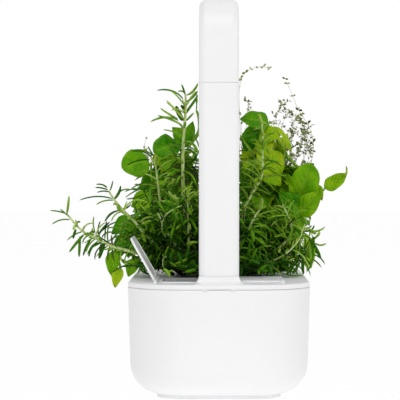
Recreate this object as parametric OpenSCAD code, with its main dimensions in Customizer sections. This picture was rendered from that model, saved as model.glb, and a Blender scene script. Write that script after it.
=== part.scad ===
// Countertop hydroponic garden: water tank, lid with service flaps, three herb pods and a plug-together
// grow lamp on a post. X runs across, Y along the base away from the post, Z up from the table.

/* [Base] */
// Width of the base at the seam under the lid
base_w = 125; // [118:1:135]
// Length of the base at the seam under the lid
base_l = 305; // [300:1:330]
// Height of the seam above the table
seam_z = 74.8; // [72:0.2:84]
// Plan radius of the base's corners
corner_r = 38; // [32:1:42]
// Lean of the tank's sides, in degrees
draft = 1.75; // [1:0.25:2.5]
// Radius of the turn from the tank's sides into its bottom
bottom_r = 20.5; // [14:0.5:22]
// Wall of the tank
tank_wall = 2.5; // [2:0.1:3]
// Height that the ring foot lifts the tank
ring_h = 2; // [1.6:0.1:2.6]
// Width of the ring foot's section
ring_t = 4; // [3:0.5:5]
// Distance from the base's side to the ring foot
ring_inset = 20; // [19:0.5:24]
// Depth that the ring foot sits in its groove
ring_groove = 1.2; // [0.8:0.1:1.5]

/* [Lid] */
// Height of the lid's rim band
rim_h = 3.6; // [3:0.1:5]
// Thickness of the lid's top
lid_t = 2.2; // [1.8:0.1:2.6]
// Radius along the lid's top edge
lid_edge_r = 1.2; // [0.6:0.1:1.6]
// Thickness of the skirt that drops inside the tank
skirt_t = 1.6; // [1.2:0.1:2]
// Depth of the skirt below the seam
skirt_d = 4; // [3:0.5:6]
// Gap between the skirt and the tank
skirt_gap = 0.4; // [0.3:0.05:0.6]
// Distance between the two seam tabs under the post
tab_pitch = 18.6; // [14:0.2:22]
// Width of a seam tab
tab_w = 2.2; // [1.2:0.1:3]

/* [Service flaps] */
// Distance from the base's middle to a flap's free edge
flap_mid = 9.6; // [9:0.1:13]
// Length of a flap along its hinge
flap_l = 50; // [44:1:51]
// Height of a flap, skirt included
flap_h = 1.4; // [1.2:0.1:2]
// Distance from the base's side to a hinge axis
hinge_inset = 19.2; // [18:0.1:20]
// Angle at which the fill flap stands open
flap_open = 119.6; // [95:0.1:125]
// Radius of the flap's barrel
barrel_r = 1.1; // [1:0.05:1.4]
// Radius of the hinge pins
pin_r = 0.6; // [0.5:0.05:0.7]
// Radial clearance of the barrel on its pin
pin_gap = 0.05; // [0.02:0.01:0.1]

/* [Water gauge] */
// Outer radius of the gauge tube
gauge_r = 7.5; // [6.5:0.1:8]
// Wall of the gauge tube
gauge_wall = 1; // [0.8:0.1:1.2]
// Travel of the float from empty to full
float_travel = 36; // [30:1:38]
// Height of the float's body
float_h = 16; // [12:1:18]

/* [Pods] */
// Gap between the flanges of neighbouring pods
pod_gap = 12; // [10:0.5:16]
// Distance from the post's front face to the first pod's middle
first_pod = 104.5; // [104:0.5:108]
// Distance from the last pod's middle to the base's end
last_pod = 46.5; // [44:0.5:50]
// Depth of a pod cup below the lid
cup_d = 50; // [40:1:52]
// Wall of a pod cup
cup_wall = 1.2; // [1:0.1:1.6]
// Radius of the hole in a pod's cap
cap_hole_r = 13; // [10:0.5:15]

/* [Post and lamp] */
// Width of the post, arm and lamp
arm_w = 27; // [25:0.5:30]
// Depth of the post, arm and lamp section
arm_d = 14; // [13:0.5:15]
// Radius of the section's two front edges
arm_edge_r = 4.8; // [3.6:0.1:5.2]
// Radius of the section's two back edges
arm_back_r = 3.5; // [2.5:0.1:3.5]
// Wall of the arm and of the lamp shell
arm_wall = 1.8; // [1.6:0.1:2]
// Distance from the base's end to the post's front face
arm_setback = 6; // [5:0.5:8]
// Height of the flared foot above the lid
foot_h = 5.3; // [4.5:0.1:6.5]
// Flare of the foot beyond the arm, at each side
flare = 3.5; // [2.5:0.1:4]
// Length of the extension arm
arm_len = 129.6; // [100:0.2:160]
// Height of the lamp's top above its lower seam
lamp_rise = 57.7; // [50:0.1:70]
// Outer radius of the lamp's bend
bend_r = 26; // [22:0.5:30]
// Reach of the lamp from the post's front face
lamp_reach = 289; // [270:1:295]
// Depth of a plug's tongue in its socket
plug_d = 14; // [11:0.5:15]
// Length of the contact pins below a tongue
contact_l = 6; // [5:0.5:6.5]
// Number of LEDs in each of the two rows
led_n = 14; // [10:1:18]

/* [Herbs] */
// Gap between the leaves and the arm, lamp and neighbours
leaf_gap = 1.5; // [1:0.1:3]
// Reach of the herbs from the pods' middle line to each side
herb_reach = 100; // [90:1:104]
// Height of the rosemary's tall sprig above the lid
rosemary_h = 142; // [125:1:150]
// Height of the basil above the lid
basil_h = 122; // [105:1:124]
// Height of the thyme above the lid
thyme_h = 165; // [150:1:170]

/* [Hidden] */
$fn = 64;

eps = 0.01;
seat = 0.2;             // clearance between pieces that lift off or drop in
lid_top = seam_z + rim_h;
lid_under = lid_top - lid_t;

// Tank and ring
tank_floor = ring_h + tank_wall;
function side_in(z) = (seam_z - z) * tan(draft);
ring_w = base_w - 2 * ring_inset;
ring_l = base_l - 2 * ring_inset;
ring_corner = corner_r - ring_inset;

// Skirt of the lid
skirt_in = tank_wall + skirt_gap;
tab_d = 1.2;            // depth of a seam tab into the tank's wall
tab_drop = 0.9;         // how far a seam tab reaches below the seam
seam_h = 0.5;           // height of the shadow gap between tank and lid
seam_in = 1.2;          // depth of that gap

// Post
arm_front = -base_l / 2 + arm_setback;
arm_y = arm_front + arm_d / 2;
arm_back = arm_front + arm_d;
foot_top = lid_top + foot_h;
lamp_z = foot_top + arm_len;
lamp_top = lamp_z + lamp_rise;
joint_h = 0.35;         // height of the fine groove at the arm's and the lamp's lower seam
joint_in = 0.5;         // depth of that groove
inner_w = arm_w - 2 * arm_wall;
inner_d = arm_d - 2 * arm_wall;
tongue_w = 14;          // width of a plug's tongue
tongue_t = 6.6;         // thickness of a plug's tongue
spigot_w = 18;          // width of the foot's socket box under the lid
spigot_t = 11;          // depth of the foot's socket box
end_wall = 2;           // closed end of a socket
plate_t = 3;            // plate that closes an end of the arm
contact_r = 0.8;        // contact pins
sleeve_r = 1.3;         // contact sleeves
contact_pitch = 4;      // distance between neighbouring contacts
socket_depth = plug_d + contact_l + 1 + end_wall;
screw_x = spigot_w / 2 + 2.3;
screw_r = 1;            // foot screws
screw_head_r = 1.8;
screw_head_h = 1.3;
screw_l = 5.4;

// Power inlet behind the post
inlet_w = 9;            // width of the inlet's body
inlet_l = 12;           // length of the inlet's body
inlet_h = 9.4;          // height of the inlet's body
inlet_wall = 1.8;
inlet_bore_r = 3.2;
inlet_box_w = inlet_w + 2 * (inlet_wall + seat);
inlet_box_h = inlet_h + inlet_wall + seat;
inlet_box_l = inlet_l + inlet_wall + seat;
inlet_back = arm_back + seat + inlet_box_l;

// Flaps, their rims and hinges
hinge_x = base_w / 2 - hinge_inset;
flap_w = hinge_x - flap_mid;
flap_front = arm_back + 0.8;
flap_y = flap_front + flap_l / 2;
hinge_z = lid_top + 0.9;
flap_lift = 0.2;        // gap under a closed flap's skirt
flap_skin = 0.8;        // thickness of a flap's plate
flap_skirt_t = 1.2;
rim_up = flap_h - flap_skin + flap_lift - 0.1;
rim_t = 1.2;
ear_l = 2.5;            // length of a hinge ear
ear_gap = 0.3;
barrel_l = flap_l - 2 * (ear_l + ear_gap);
web_x = barrel_r + ear_gap;
rim_gap = 0.5;          // gap between a flap's skirt and the rim inside it
rim_x0 = web_x + flap_skirt_t + rim_gap;
rim_x1 = flap_w - flap_skirt_t - rim_gap;
rim_len = flap_l - 2 * (flap_skirt_t + rim_gap);
flap_r = 9;
rim_r = flap_r - flap_skirt_t - rim_gap;
notch_r = 6;            // radius of the finger notch in a flap
notch_d = 0.4;

// Gauge
gauge_x = hinge_x - (rim_x0 + rim_x1) / 2;
gauge_y = flap_y;
gauge_foot = tank_floor + 2;
gauge_lip = 1.5;        // thickness and inner reach of the ring that the float lands on
gauge_flange_r = gauge_r + 2.5;
gauge_flange_t = 0.9;
float_r = gauge_r - gauge_wall - 0.5;
float_z = gauge_foot + gauge_lip + 0.1;
stem_r = 2;
float_top = lid_under - 1 - float_travel;

// Pods
pod_pitch = (base_l / 2 - last_pod - arm_front - first_pod) / 2;
flange_w = pod_pitch - pod_gap;
pod_open = flange_w - 8;
pod_y = [for (i = [0 : 2]) arm_front + first_pod + i * pod_pitch];
pod_r = 9;
flange_t = 1.8;
flange_sink = 1;        // depth of the recess that takes a cup's flange
cup_top_w = pod_open - 1;
cup_foot_w = pod_open - 12;
cup_floor_z = lid_top - flange_sink - cup_d;
cup_mouth = lid_top - flange_sink + flange_t;
cap_t = 1.4;
cap_sink = 2.6;         // depth of the ledge that carries a pod's cap
medium_top = cup_mouth - cap_sink - 1;
wick_w = 8;
wick_t = 2;

// Lamp
bar_z = lamp_top - arm_d / 2;
bar_low = lamp_top - arm_d;
bend_y = arm_front + bend_r;
bend_z = lamp_top - bend_r;
lamp_tip = arm_front + lamp_reach;
cover_w = inner_w - 3;
cover_y0 = bend_y + 4;
cover_y1 = lamp_tip - 6;
cover_l = cover_y1 - cover_y0;
cover_y = (cover_y0 + cover_y1) / 2;
window_w = 12;
window_l = cover_l - 34;
diffuser_w = window_w + 3;
diffuser_l = window_l + 6;
diffuser_t = 1.6;
cover_ledge = 0.9;
board_w = 15;
board_t = 1.2;
led_drop = 1.6;         // gap between the diffuser and the LED board
board_z = bar_low + cover_ledge + diffuser_t + led_drop;
spreader_w = 18;
spreader_t = 2;
spreader_z = board_z + board_t;
board_l = window_l + 2;
led_w = 3;
led_t = 0.8;
led_x = 4.2;
led_span = board_l - 20;
led_pitch = led_span / (led_n - 1);
post_y = [for (i = [-1 : 1]) cover_y + i * led_pitch * floor((led_n - 4) / 2 + 0.5)];
cover_screw_y = [cover_y0 + 7, cover_y1 - 7];
cover_screw_x = 4.5;
lamp_screw_r = 0.9;      // screws of the lamp head
lamp_screw_hole_r = lamp_screw_r + 0.15;
lamp_screw_head_r = 1.6;
board_screw_head_h = 0.9;
cover_screw_head_h = 0.8;
cover_screw_l = 5;
cover_recess_r = 1.8;    // sinks the head of a cover screw
cover_recess_h = 1.9;

// Driver in the lamp's upright part
driver_w = 16;
driver_l = 22;
driver_t = 1.2;
driver_z = lamp_z + plate_t + 2;
wire_r = 0.65;          // lamp wires
wire_x = 1.3;           // half the distance between the lamp wires
wire_gap = 0.3;         // gap between the lamp wires and the heat spreader
wire_lap = 6;           // length of a lamp wire along the driver board and along the spreader
arm_wire_r = 0.9;
arm_wire_x = 2.2;

// Herbs: at() gives a ball [x, y, z, r] in hundredths of the herbs' reach, the others move it
clear_x = arm_w / 2 + leaf_gap;
function at(x, y, z, r) = [x, y, z, r] * herb_reach / 100;
function left_of(x, y, z, r) = at(x, y, z, r) - [clear_x, 0, 0, 0];
function right_of(x, y, z, r) = at(x, y, z, r) + [clear_x, 0, 0, 0];
function up(h) = [0, 0, h, 0];

white = "white";

// ---- helpers ----

// Rounded rectangle, true arcs
module rrect(w, l, r) {
    square([w - 2 * r, l], center = true);
    square([w, l - 2 * r], center = true);
    for (sx = [-1, 1], sy = [-1, 1]) translate([sx * (w / 2 - r), sy * (l / 2 - r)]) circle(r);
}

// Section of the post and lamp drawn in by d: large edges at the front, small ones at the back
module section(d) {
    w = arm_w - 2 * d;
    l = arm_d - 2 * d;
    front = arm_edge_r - d;
    back = arm_back_r - d;
    translate([-w / 2, front - l / 2]) square([w, l - front - back]);
    translate([front - w / 2, -l / 2]) square([w - 2 * front, l / 2]);
    translate([back - w / 2, 0]) square([w - 2 * back, l / 2]);
    for (s = [-1, 1]) {
        translate([s * (w / 2 - front), front - l / 2]) circle(front);
        translate([s * (w / 2 - back), l / 2 - back]) circle(back);
    }
}

// Fine groove round the section, on top of the plane z
module joint_line(z) {
    translate([0, arm_y, z - eps]) linear_extrude(joint_h + eps) difference() {
        square([2 * arm_w, 2 * arm_d], center = true);
        section(joint_in);
    }
}

// Plan of the base, drawn in by d all round
module base_plan(d) {
    rrect(base_w - 2 * d, base_l - 2 * d, corner_r - d);
}

// Upright block with rounded edges, standing at z
module slab(w, l, r, z, h) {
    translate([0, 0, z]) linear_extrude(h) rrect(w, l, r);
}

// Thin layer of the base's plan, as one step of a blended form
module layer(d, z) {
    translate([0, 0, z]) linear_extrude(eps) base_plan(d);
}

// Solid form of the tank: leaning sides that turn into a flat bottom at z0 by radius r
module tank_form(d, z0, r, top) {
    hull() {
        for (a = [0 : 10 : 90]) {
            z = z0 + r * (1 - cos(a));
            layer(d + side_in(z) + r * (1 - sin(a)), z);
        }
        layer(d, top - eps);
    }
}

// Row of three contacts across the post
module contacts() {
    for (i = [-1 : 1]) translate([i * contact_pitch, 0, 0]) children();
}

// Tongue and contact seats of a plug that hangs under the plane z
module tongue(z) {
    translate([0, arm_y, 0]) slab(tongue_w, tongue_t, 1.5, z - plug_d, plug_d + eps);
}

// Pocket for a tongue, open at the plane z, with its three sleeve bores
module socket_cut(z) {
    translate([0, arm_y, 0]) {
        slab(tongue_w + 2 * seat, tongue_t + 2 * seat, 1.5 + seat, z - plug_d - seat, plug_d + 1);
        translate([0, 0, z - plug_d - contact_l - 1]) contacts() cylinder(r = sleeve_r, h = contact_l + 1);
    }
}

// Three contact pins under the plane z of a seam
module plug_pins(z) {
    translate([0, arm_y, z - plug_d - contact_l])
        contacts() {
            cylinder(r = contact_r, h = contact_l);
        }
}

// Three contact sleeves of the socket whose mouth is at the plane z
module sleeves(z) {
    translate([0, arm_y, z - plug_d - contact_l - 1]) contacts() difference() {
        cylinder(r = sleeve_r, h = contact_l + 0.5);
        translate([0, 0, 0.6]) cylinder(r = contact_r + pin_gap, h = contact_l + 1);
    }
}

// Pan-head screw, head down, with the head's bearing face at z = 0
module screw_up(r, head_r, head_h, len) {
    translate([0, 0, -head_h]) difference() {
        cylinder(r = head_r, h = head_h);
        translate([0, 0, -eps]) cylinder(r = head_r * 0.45, h = head_h * 0.5);
    }
    translate([0, 0, -eps]) cylinder(r = r, h = len + eps);
}

// ---- base ----

module water_tank() color(white) {
    difference() {
        tank_form(0, ring_h, bottom_r, seam_z);
        tank_form(tank_wall, tank_floor, bottom_r - tank_wall, seam_z + 1);
        ring_shape(ring_h - eps, ring_groove + eps, 0.1);
        for (s = [-1, 1])
            translate([s * tab_pitch / 2 - tab_w / 2 - seat, -base_l / 2 - 1, seam_z - tab_drop - seat])
                cube([tab_w + 2 * seat, tab_d + 1 + seat, tab_drop + seat + 1]);
    }
}

// The ring foot's section between z and z + h, made wider by gap
module ring_shape(z, h, gap) {
    translate([0, 0, z]) linear_extrude(h) difference() {
        rrect(ring_w + 2 * gap, ring_l + 2 * gap, ring_corner + gap);
        rrect(ring_w - 2 * ring_t - 2 * gap, ring_l - 2 * ring_t - 2 * gap, ring_corner - ring_t - gap);
    }
}

module ring_foot() color("gainsboro") ring_shape(0, ring_h + ring_groove, 0);

module lid() color(white) {
    difference() {
        union() {
            difference() {
                union() {
                    hull() {
                        layer(0, seam_z);
                        for (a = [0 : 30 : 90])
                            layer(lid_edge_r * (1 - cos(a)), lid_top - eps - lid_edge_r * (1 - sin(a)));
                    }
                    translate([0, 0, seam_z - skirt_d]) linear_extrude(skirt_d + 1) base_plan(skirt_in);
                }
                translate([0, 0, seam_z - skirt_d - 1])
                    linear_extrude(lid_under - seam_z + skirt_d + 1) base_plan(skirt_in + skirt_t);
            }
            seam_tabs();
            lid_ribs();
            screw_bosses();
            for (s = [-1, 1]) {
                opening_rim(s);
                hinge_ears(s);
            }
        }
        for (y = pod_y) translate([0, y, 0]) {
            slab(pod_open, pod_open, pod_r, seam_z - skirt_d - 1, 30);
            slab(flange_w + 2 * seat, flange_w + 2 * seat, pod_r + 4 + seat, lid_top - flange_sink, 10);
        }
        translate([-hinge_x + (rim_x0 + rim_x1) / 2, flap_y, 0])
            slab(rim_x1 - rim_x0 - 2 * rim_t, rim_len - 2 * rim_t, rim_r - rim_t, lid_under - 6, 20);
        translate([gauge_x, gauge_y, lid_under - 6]) cylinder(r = gauge_r + seat, h = 20);
        translate([gauge_x, gauge_y, lid_top - gauge_flange_t]) cylinder(r = gauge_flange_r + seat, h = 5);
        translate([0, arm_y, 0]) slab(spigot_w + 2 * seat, spigot_t + 2 * seat, 1.5, lid_under - 6, 20);
        for (s = [-1, 1]) translate([s * screw_x, arm_y, lid_under - 6]) cylinder(r = screw_r + 0.15, h = 20);
        for (s = [-1, 1]) barrel_groove(s);
        seam_line();
    }
}

// Shadow gap above the tank's rim, left out at the two tabs
module seam_line() {
    translate([0, 0, seam_z - eps]) linear_extrude(seam_h + eps) difference() {
        base_plan(-1);
        base_plan(seam_in);
        for (s = [-1, 1]) translate([s * tab_pitch / 2 - tab_w / 2, -base_l / 2 - 2]) square([tab_w, 4]);
    }
}

// Two tabs that drop from the rim into notches in the tank's end
module seam_tabs() {
    for (s = [-1, 1]) translate([s * tab_pitch / 2 - tab_w / 2, -base_l / 2, seam_z - tab_drop])
        cube([tab_w, tab_d, tab_drop + 1]);
}

// Stiffening ribs under the lid: one along each side of the pods, and one between neighbouring pods
module lid_ribs() {
    rib_h = lid_under - seam_z + 2.5;
    for (s = [-1, 1]) translate([s * (flange_w / 2 + 6) - 0.7, pod_y[0] - flange_w / 2, lid_under - rib_h])
        cube([1.4, pod_y[2] - pod_y[0] + flange_w, rib_h + eps]);
    for (i = [0, 1]) translate([-flange_w / 2 - 6, (pod_y[i] + pod_y[i + 1]) / 2 - 0.7, lid_under - rib_h])
        cube([flange_w + 12, 1.4, rib_h + eps]);
}

// Thickening of the lid round each foot screw
module screw_bosses() {
    for (s = [-1, 1]) translate([s * screw_x, arm_y, lid_under - 1])
        cylinder(r = screw_head_r + 0.6, h = 1 + eps);
}

// Raised rim that a closed flap caps; side -1 is the fill opening, side 1 the gauge
module opening_rim(side) {
    translate([side * (hinge_x - (rim_x0 + rim_x1) / 2), flap_y, 0]) difference() {
        slab(rim_x1 - rim_x0, rim_len, rim_r, lid_top - eps, rim_up + eps);
        slab(rim_x1 - rim_x0 - 2 * rim_t, rim_len - 2 * rim_t, rim_r - rim_t, lid_top - 1, rim_up + 2);
    }
}

// Pair of hinge ears, bored for the pin
module hinge_ears(side) {
    for (e = [0, 1]) translate([side * hinge_x, flap_front + e * (flap_l - ear_l), 0]) difference() {
        union() {
            translate([-barrel_r, 0, lid_top - 1]) cube([2 * barrel_r, ear_l, hinge_z - lid_top + 1]);
            translate([0, 0, hinge_z]) rotate([-90, 0, 0]) cylinder(r = barrel_r, h = ear_l);
        }
        translate([0, -1, hinge_z]) rotate([-90, 0, 0]) cylinder(r = pin_r + 0.01, h = ear_l + 2);
    }
}

// Trough in the lid under a flap's barrel
module barrel_groove(side) {
    translate([side * hinge_x, flap_front + ear_l, hinge_z]) rotate([-90, 0, 0])
        cylinder(r = barrel_r + 0.3, h = barrel_l + 2 * ear_gap);
}

// ---- foot of the post ----

module arm_foot() color(white) {
    difference() {
        union() {
            intersection() {
                translate([0, arm_y, lid_top]) linear_extrude(foot_h) foot_plan();
                foot_flares();
            }
            translate([0, arm_y, 0]) slab(spigot_w, spigot_t, 1.3, foot_top - socket_depth, socket_depth - 1);
            translate([0, inlet_back - inlet_box_l / 2 - flare / 2, 0])
                slab(inlet_box_w, inlet_box_l + flare, 2, lid_top, inlet_box_h);
        }
        translate([-arm_w, arm_front - 1, foot_top]) cube([2 * arm_w, arm_d + 1 + seat, 30]);
        socket_cut(foot_top);
        translate([-inlet_w / 2 - seat, inlet_back - inlet_l, lid_top - eps])
            cube([inlet_w + 2 * seat, inlet_l + 1, inlet_h + seat]);
        for (s = [-1, 1]) translate([s * screw_x, arm_y, lid_top - eps])
            cylinder(r = screw_r, h = screw_l - lid_t - 0.8);
    }
}

// Plan of the foot: the section grown by the flare to the front and the sides
module foot_plan() {
    r = min(arm_edge_r + flare, (arm_d + flare) / 2 - seat);
    w = arm_w + 2 * flare;
    for (s = [-1, 1]) {
        translate([s * (w / 2 - r), r - flare - arm_d / 2]) circle(r);
        translate([s * (w / 2 - arm_back_r), arm_d / 2 - arm_back_r]) circle(arm_back_r);
    }
    translate([r - w / 2, -flare - arm_d / 2]) square([w - 2 * r, arm_d / 2 + flare]);
    translate([arm_back_r - w / 2, 0]) square([w - 2 * arm_back_r, arm_d / 2]);
    translate([-w / 2, r - flare - arm_d / 2]) square([w, arm_d + flare - r - arm_back_r]);
}

// Block whose front and two sides curve in by the flare towards the arm's section
module foot_flares() {
    translate([0, arm_y, lid_top]) difference() {
        translate([-arm_w, -arm_d, 0]) cube([2 * arm_w, 2 * arm_d, foot_h]);
        for (s = [-1, 1]) translate([s * (arm_w / 2 + foot_h), 0, foot_h]) rotate([90, 0, 0])
            cylinder(r = foot_h, h = 3 * arm_d, center = true);
        translate([0, -arm_d / 2 - foot_h, foot_h]) rotate([0, 90, 0])
            cylinder(r = foot_h, h = 3 * arm_w, center = true);
    }
}

module foot_screws() color("silver") {
    for (s = [-1, 1]) translate([s * screw_x, arm_y, lid_under - 1])
        screw_up(screw_r, screw_head_r, screw_head_h, screw_l - 1);
}

module power_inlet() color("dimgray") {
    translate([0, inlet_back, lid_top + 0.1]) difference() {
        translate([-inlet_w / 2, -inlet_l, 0]) cube([inlet_w, inlet_l, inlet_h]);
        translate([0, eps, inlet_h / 2]) rotate([90, 0, 0]) difference() {
            cylinder(r = inlet_bore_r, h = inlet_l - 2);
            cylinder(r = 1, h = inlet_l);
        }
    }
}

module foot_contacts() color("goldenrod") sleeves(foot_top);

// ---- service flaps ----

// A closed flap with its hinge axis on the Y axis through the origin, reaching towards +X
module flap() {
    top = lid_top + flap_lift + flap_h - hinge_z;
    difference() {
        union() {
            translate([(web_x + flap_w) / 2, 0, 0]) difference() {
                slab(flap_w - web_x, flap_l, flap_r, top - flap_h, flap_h);
                slab(flap_w - web_x - 2 * flap_skirt_t, flap_l - 2 * flap_skirt_t, flap_r - flap_skirt_t,
                     top - flap_h - 1, flap_h - flap_skin + 1);
            }
            for (e = [0, 1]) mirror([0, e, 0]) translate([web_x, flap_l / 2 - flap_r, top - flap_h]) {
                translate([0, 0, flap_h - flap_skin]) cube([flap_r, flap_r, flap_skin]);
                cube([flap_skirt_t, flap_r, flap_h]);
                translate([0, flap_r - flap_skirt_t, 0]) cube([flap_r, flap_skirt_t, flap_h]);
            }
            translate([0, -barrel_l / 2, top - flap_skin]) cube([web_x + 1, barrel_l, flap_skin]);
            translate([0, -barrel_l / 2, 0]) rotate([-90, 0, 0]) cylinder(r = barrel_r, h = barrel_l);
        }
        translate([0, -flap_l, 0]) rotate([-90, 0, 0]) cylinder(r = pin_r + pin_gap, h = 2 * flap_l);
        translate([flap_w - 3.5, 0, top + notch_r - notch_d]) rotate([0, 90, 0]) cylinder(r = notch_r, h = 8);
    }
}

module fill_flap() color(white)
    translate([-hinge_x, flap_y, hinge_z]) rotate([0, -flap_open, 0]) flap();

module gauge_flap() color(white)
    translate([hinge_x, flap_y, hinge_z]) mirror([1, 0, 0]) flap();

module flap_pin(side) {
    translate([side * hinge_x, flap_front, hinge_z]) rotate([-90, 0, 0]) cylinder(r = pin_r, h = flap_l);
}

module fill_flap_pin() color("silver") flap_pin(-1);

module gauge_flap_pin() color("silver") flap_pin(1);

// ---- water gauge ----

module gauge_tube() color("whitesmoke") {
    translate([gauge_x, gauge_y, 0]) difference() {
        union() {
            translate([0, 0, gauge_foot]) cylinder(r = gauge_r, h = lid_top - gauge_foot);
            translate([0, 0, lid_top - gauge_flange_t]) cylinder(r = gauge_flange_r, h = gauge_flange_t);
        }
        translate([0, 0, gauge_foot + gauge_lip]) cylinder(r = gauge_r - gauge_wall, h = lid_top);
        translate([0, 0, gauge_foot - 1]) cylinder(r = gauge_r - gauge_wall - gauge_lip, h = lid_top);
        for (a = [0, 90]) rotate([0, 0, a]) translate([-gauge_r - 1, -1.5, gauge_foot + gauge_lip + 3])
            cube([2 * gauge_r + 2, 3, 22]);
    }
}

module float_body() color("orange") {
    translate([gauge_x, gauge_y, float_z]) difference() {
        cylinder(r = float_r, h = float_h);
        translate([0, 0, 2]) cylinder(r = stem_r, h = float_h);
    }
}

module float_stem() color("red") {
    translate([gauge_x, gauge_y, float_z + 2]) cylinder(r = stem_r, h = float_top - float_z - 3);
    translate([gauge_x, gauge_y, float_top - 1.5]) cylinder(r = float_r, h = 1.5);
}

// ---- extension arm ----

module extension_arm() color(white) {
    difference() {
        translate([0, arm_y, foot_top]) linear_extrude(arm_len) difference() {
            section(0);
            section(arm_wall);
        }
        joint_line(foot_top);
    }
}

// Plate that closes the arm's tube at z, and the tongue below the seam
module plug_body(z) {
    difference() {
        union() {
            translate([0, arm_y, 0]) slab(inner_w, inner_d, arm_edge_r - arm_wall, z, plate_t);
            tongue(z);
        }
        translate([0, arm_y, z - plug_d - 1]) contacts() cylinder(r = contact_r, h = plug_d + 1);
    }
}

module arm_plug() color("dimgray") plug_body(foot_top);

module arm_pins() color("goldenrod") {
    plug_pins(foot_top);
    translate([0, arm_y, foot_top - plug_d - eps]) contacts() cylinder(r = contact_r, h = plug_d + eps);
}

// Two wires from the plug's plate to the upper socket
module arm_wires() color("firebrick") {
    low = foot_top + plate_t;
    high = lamp_z - socket_depth;
    for (s = [-1, 1]) translate([s * arm_wire_x, arm_y, low]) cylinder(r = arm_wire_r, h = high - low);
}

module arm_socket() color("dimgray") {
    difference() {
        translate([0, arm_y, 0])
            slab(inner_w, inner_d, arm_edge_r - arm_wall, lamp_z - socket_depth, socket_depth - 0.2);
        socket_cut(lamp_z);
    }
}

module arm_contacts() color("goldenrod") sleeves(lamp_z);

// ---- lamp head ----

// Cane-shaped form of the lamp head with every face drawn in by d, starting at z0
module cane(d, z0) {
    translate([0, arm_y, z0]) linear_extrude(bend_z - z0) section(d);
    translate([0, bend_y, bend_z]) rotate([90, 0, 90]) rotate([0, 0, 90])
        rotate_extrude(angle = 90) translate([bend_r - arm_d / 2, 0]) rotate([0, 0, 90]) section(d);
    translate([0, bend_y, bar_z]) rotate([-90, 0, 0])
        linear_extrude(lamp_tip - arm_w / 2 - bend_y) section(d);
    translate([0, lamp_tip - arm_w / 2, bar_z]) rotate_extrude(angle = 180) intersection() {
        mirror([0, 1, 0]) section(d);
        translate([0, -arm_d]) square([arm_w, 2 * arm_d]);
    }
}

// The cover's outline, grown by d
module cover_plan(d) {
    translate([0, cover_y]) rrect(cover_w + 2 * d, cover_l + 2 * d, cover_w / 2 + d - 0.5);
}

module lamp_shell() color(white) {
    difference() {
        cane(0, lamp_z);
        cane(arm_wall, lamp_z - 1);
        translate([0, 0, bar_low - 1]) linear_extrude(arm_wall + 2) cover_plan(0.15);
        joint_line(lamp_z);
    }
    for (y = post_y) translate([0, y, 0]) difference() {
        translate([0, 0, spreader_z + spreader_t])
            cylinder(r = 2.6, h = lamp_top - arm_wall - spreader_z - spreader_t + eps);
        translate([0, 0, spreader_z]) cylinder(r = lamp_screw_r, h = 5);
    }
    for (y = cover_screw_y, s = [-1, 1]) translate([s * cover_screw_x, y, 0]) difference() {
        translate([0, 0, bar_low + arm_wall]) cylinder(r = 2.2, h = arm_d - 2 * arm_wall + eps);
        translate([0, 0, bar_low]) cylinder(r = lamp_screw_r, h = 7);
    }
}

module lamp_plug() color("dimgray") plug_body(lamp_z);

module lamp_pins() color("goldenrod") {
    plug_pins(lamp_z);
    translate([0, arm_y, lamp_z - plug_d - eps]) contacts() cylinder(r = contact_r, h = plug_d + eps);
}

// Upright board that stands in a pair of edge guides on the plug's plate
module driver_board() color("darkgreen") {
    translate([-driver_w / 2, arm_y - driver_t / 2, lamp_z + plate_t])
        cube([driver_w, driver_t, driver_l + 2]);
}

// Capacitor, coil and chip on the driver board
module driver_parts() color("black") {
    face = arm_y + driver_t / 2;
    translate([-3.6, face, driver_z + 6]) rotate([-90, 0, 0]) cylinder(r = 3.1, h = 4);
    translate([0.6, face, driver_z + 3]) cube([5.6, 3, 5.6]);
    translate([1.2, face, driver_z + 12]) cube([4.9, 1.5, 5.9]);
}

// Two wires from the back of the driver board, round the bend and onto the heat spreader
module lamp_wires() color("firebrick") {
    wire_bend = spreader_z + spreader_t + wire_gap + wire_r - bend_z;
    start = lamp_z + plate_t + driver_l - wire_lap;
    for (s = [-1, 1]) translate([s * wire_x, bend_y, 0]) {
        translate([0, -wire_bend, start]) cylinder(r = wire_r, h = bend_z - start);
        translate([0, 0, bend_z]) rotate([90, 0, 90]) rotate([0, 0, 90])
            rotate_extrude(angle = 90) translate([wire_bend, 0]) circle(wire_r);
        translate([0, 0, bend_z + wire_bend]) rotate([-90, 0, 0])
            cylinder(r = wire_r, h = cover_y - board_l / 2 + wire_lap - bend_y);
    }
}

// Holes through board and spreader for the screws
module board_holes(z, h) {
    for (y = post_y) translate([0, y, z - 1]) cylinder(r = lamp_screw_hole_r, h = h + 2);
}

module heat_spreader() color("silver") {
    difference() {
        translate([0, cover_y, 0]) slab(spreader_w, board_l, 2, spreader_z, spreader_t);
        board_holes(spreader_z, spreader_t);
    }
}

module led_board() color("whitesmoke") {
    difference() {
        translate([0, cover_y, 0]) slab(board_w, board_l, 1, board_z, board_t);
        board_holes(board_z, board_t);
    }
}

module leds() color("lightyellow") {
    for (s = [-1, 1], i = [0 : led_n - 1])
        translate([s * led_x, cover_y - led_span / 2 + i * led_pitch, board_z - led_t / 2])
            cube([led_w, led_w, led_t], center = true);
}

module board_screws() color("silver") {
    for (y = post_y) translate([0, y, board_z])
        screw_up(lamp_screw_r, lamp_screw_head_r, board_screw_head_h, board_t + spreader_t + 3);
}

module lamp_diffuser() color("white", 0.7) {
    translate([0, cover_y, 0]) slab(diffuser_w, diffuser_l, 1.5, bar_low + cover_ledge, diffuser_t);
}

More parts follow.
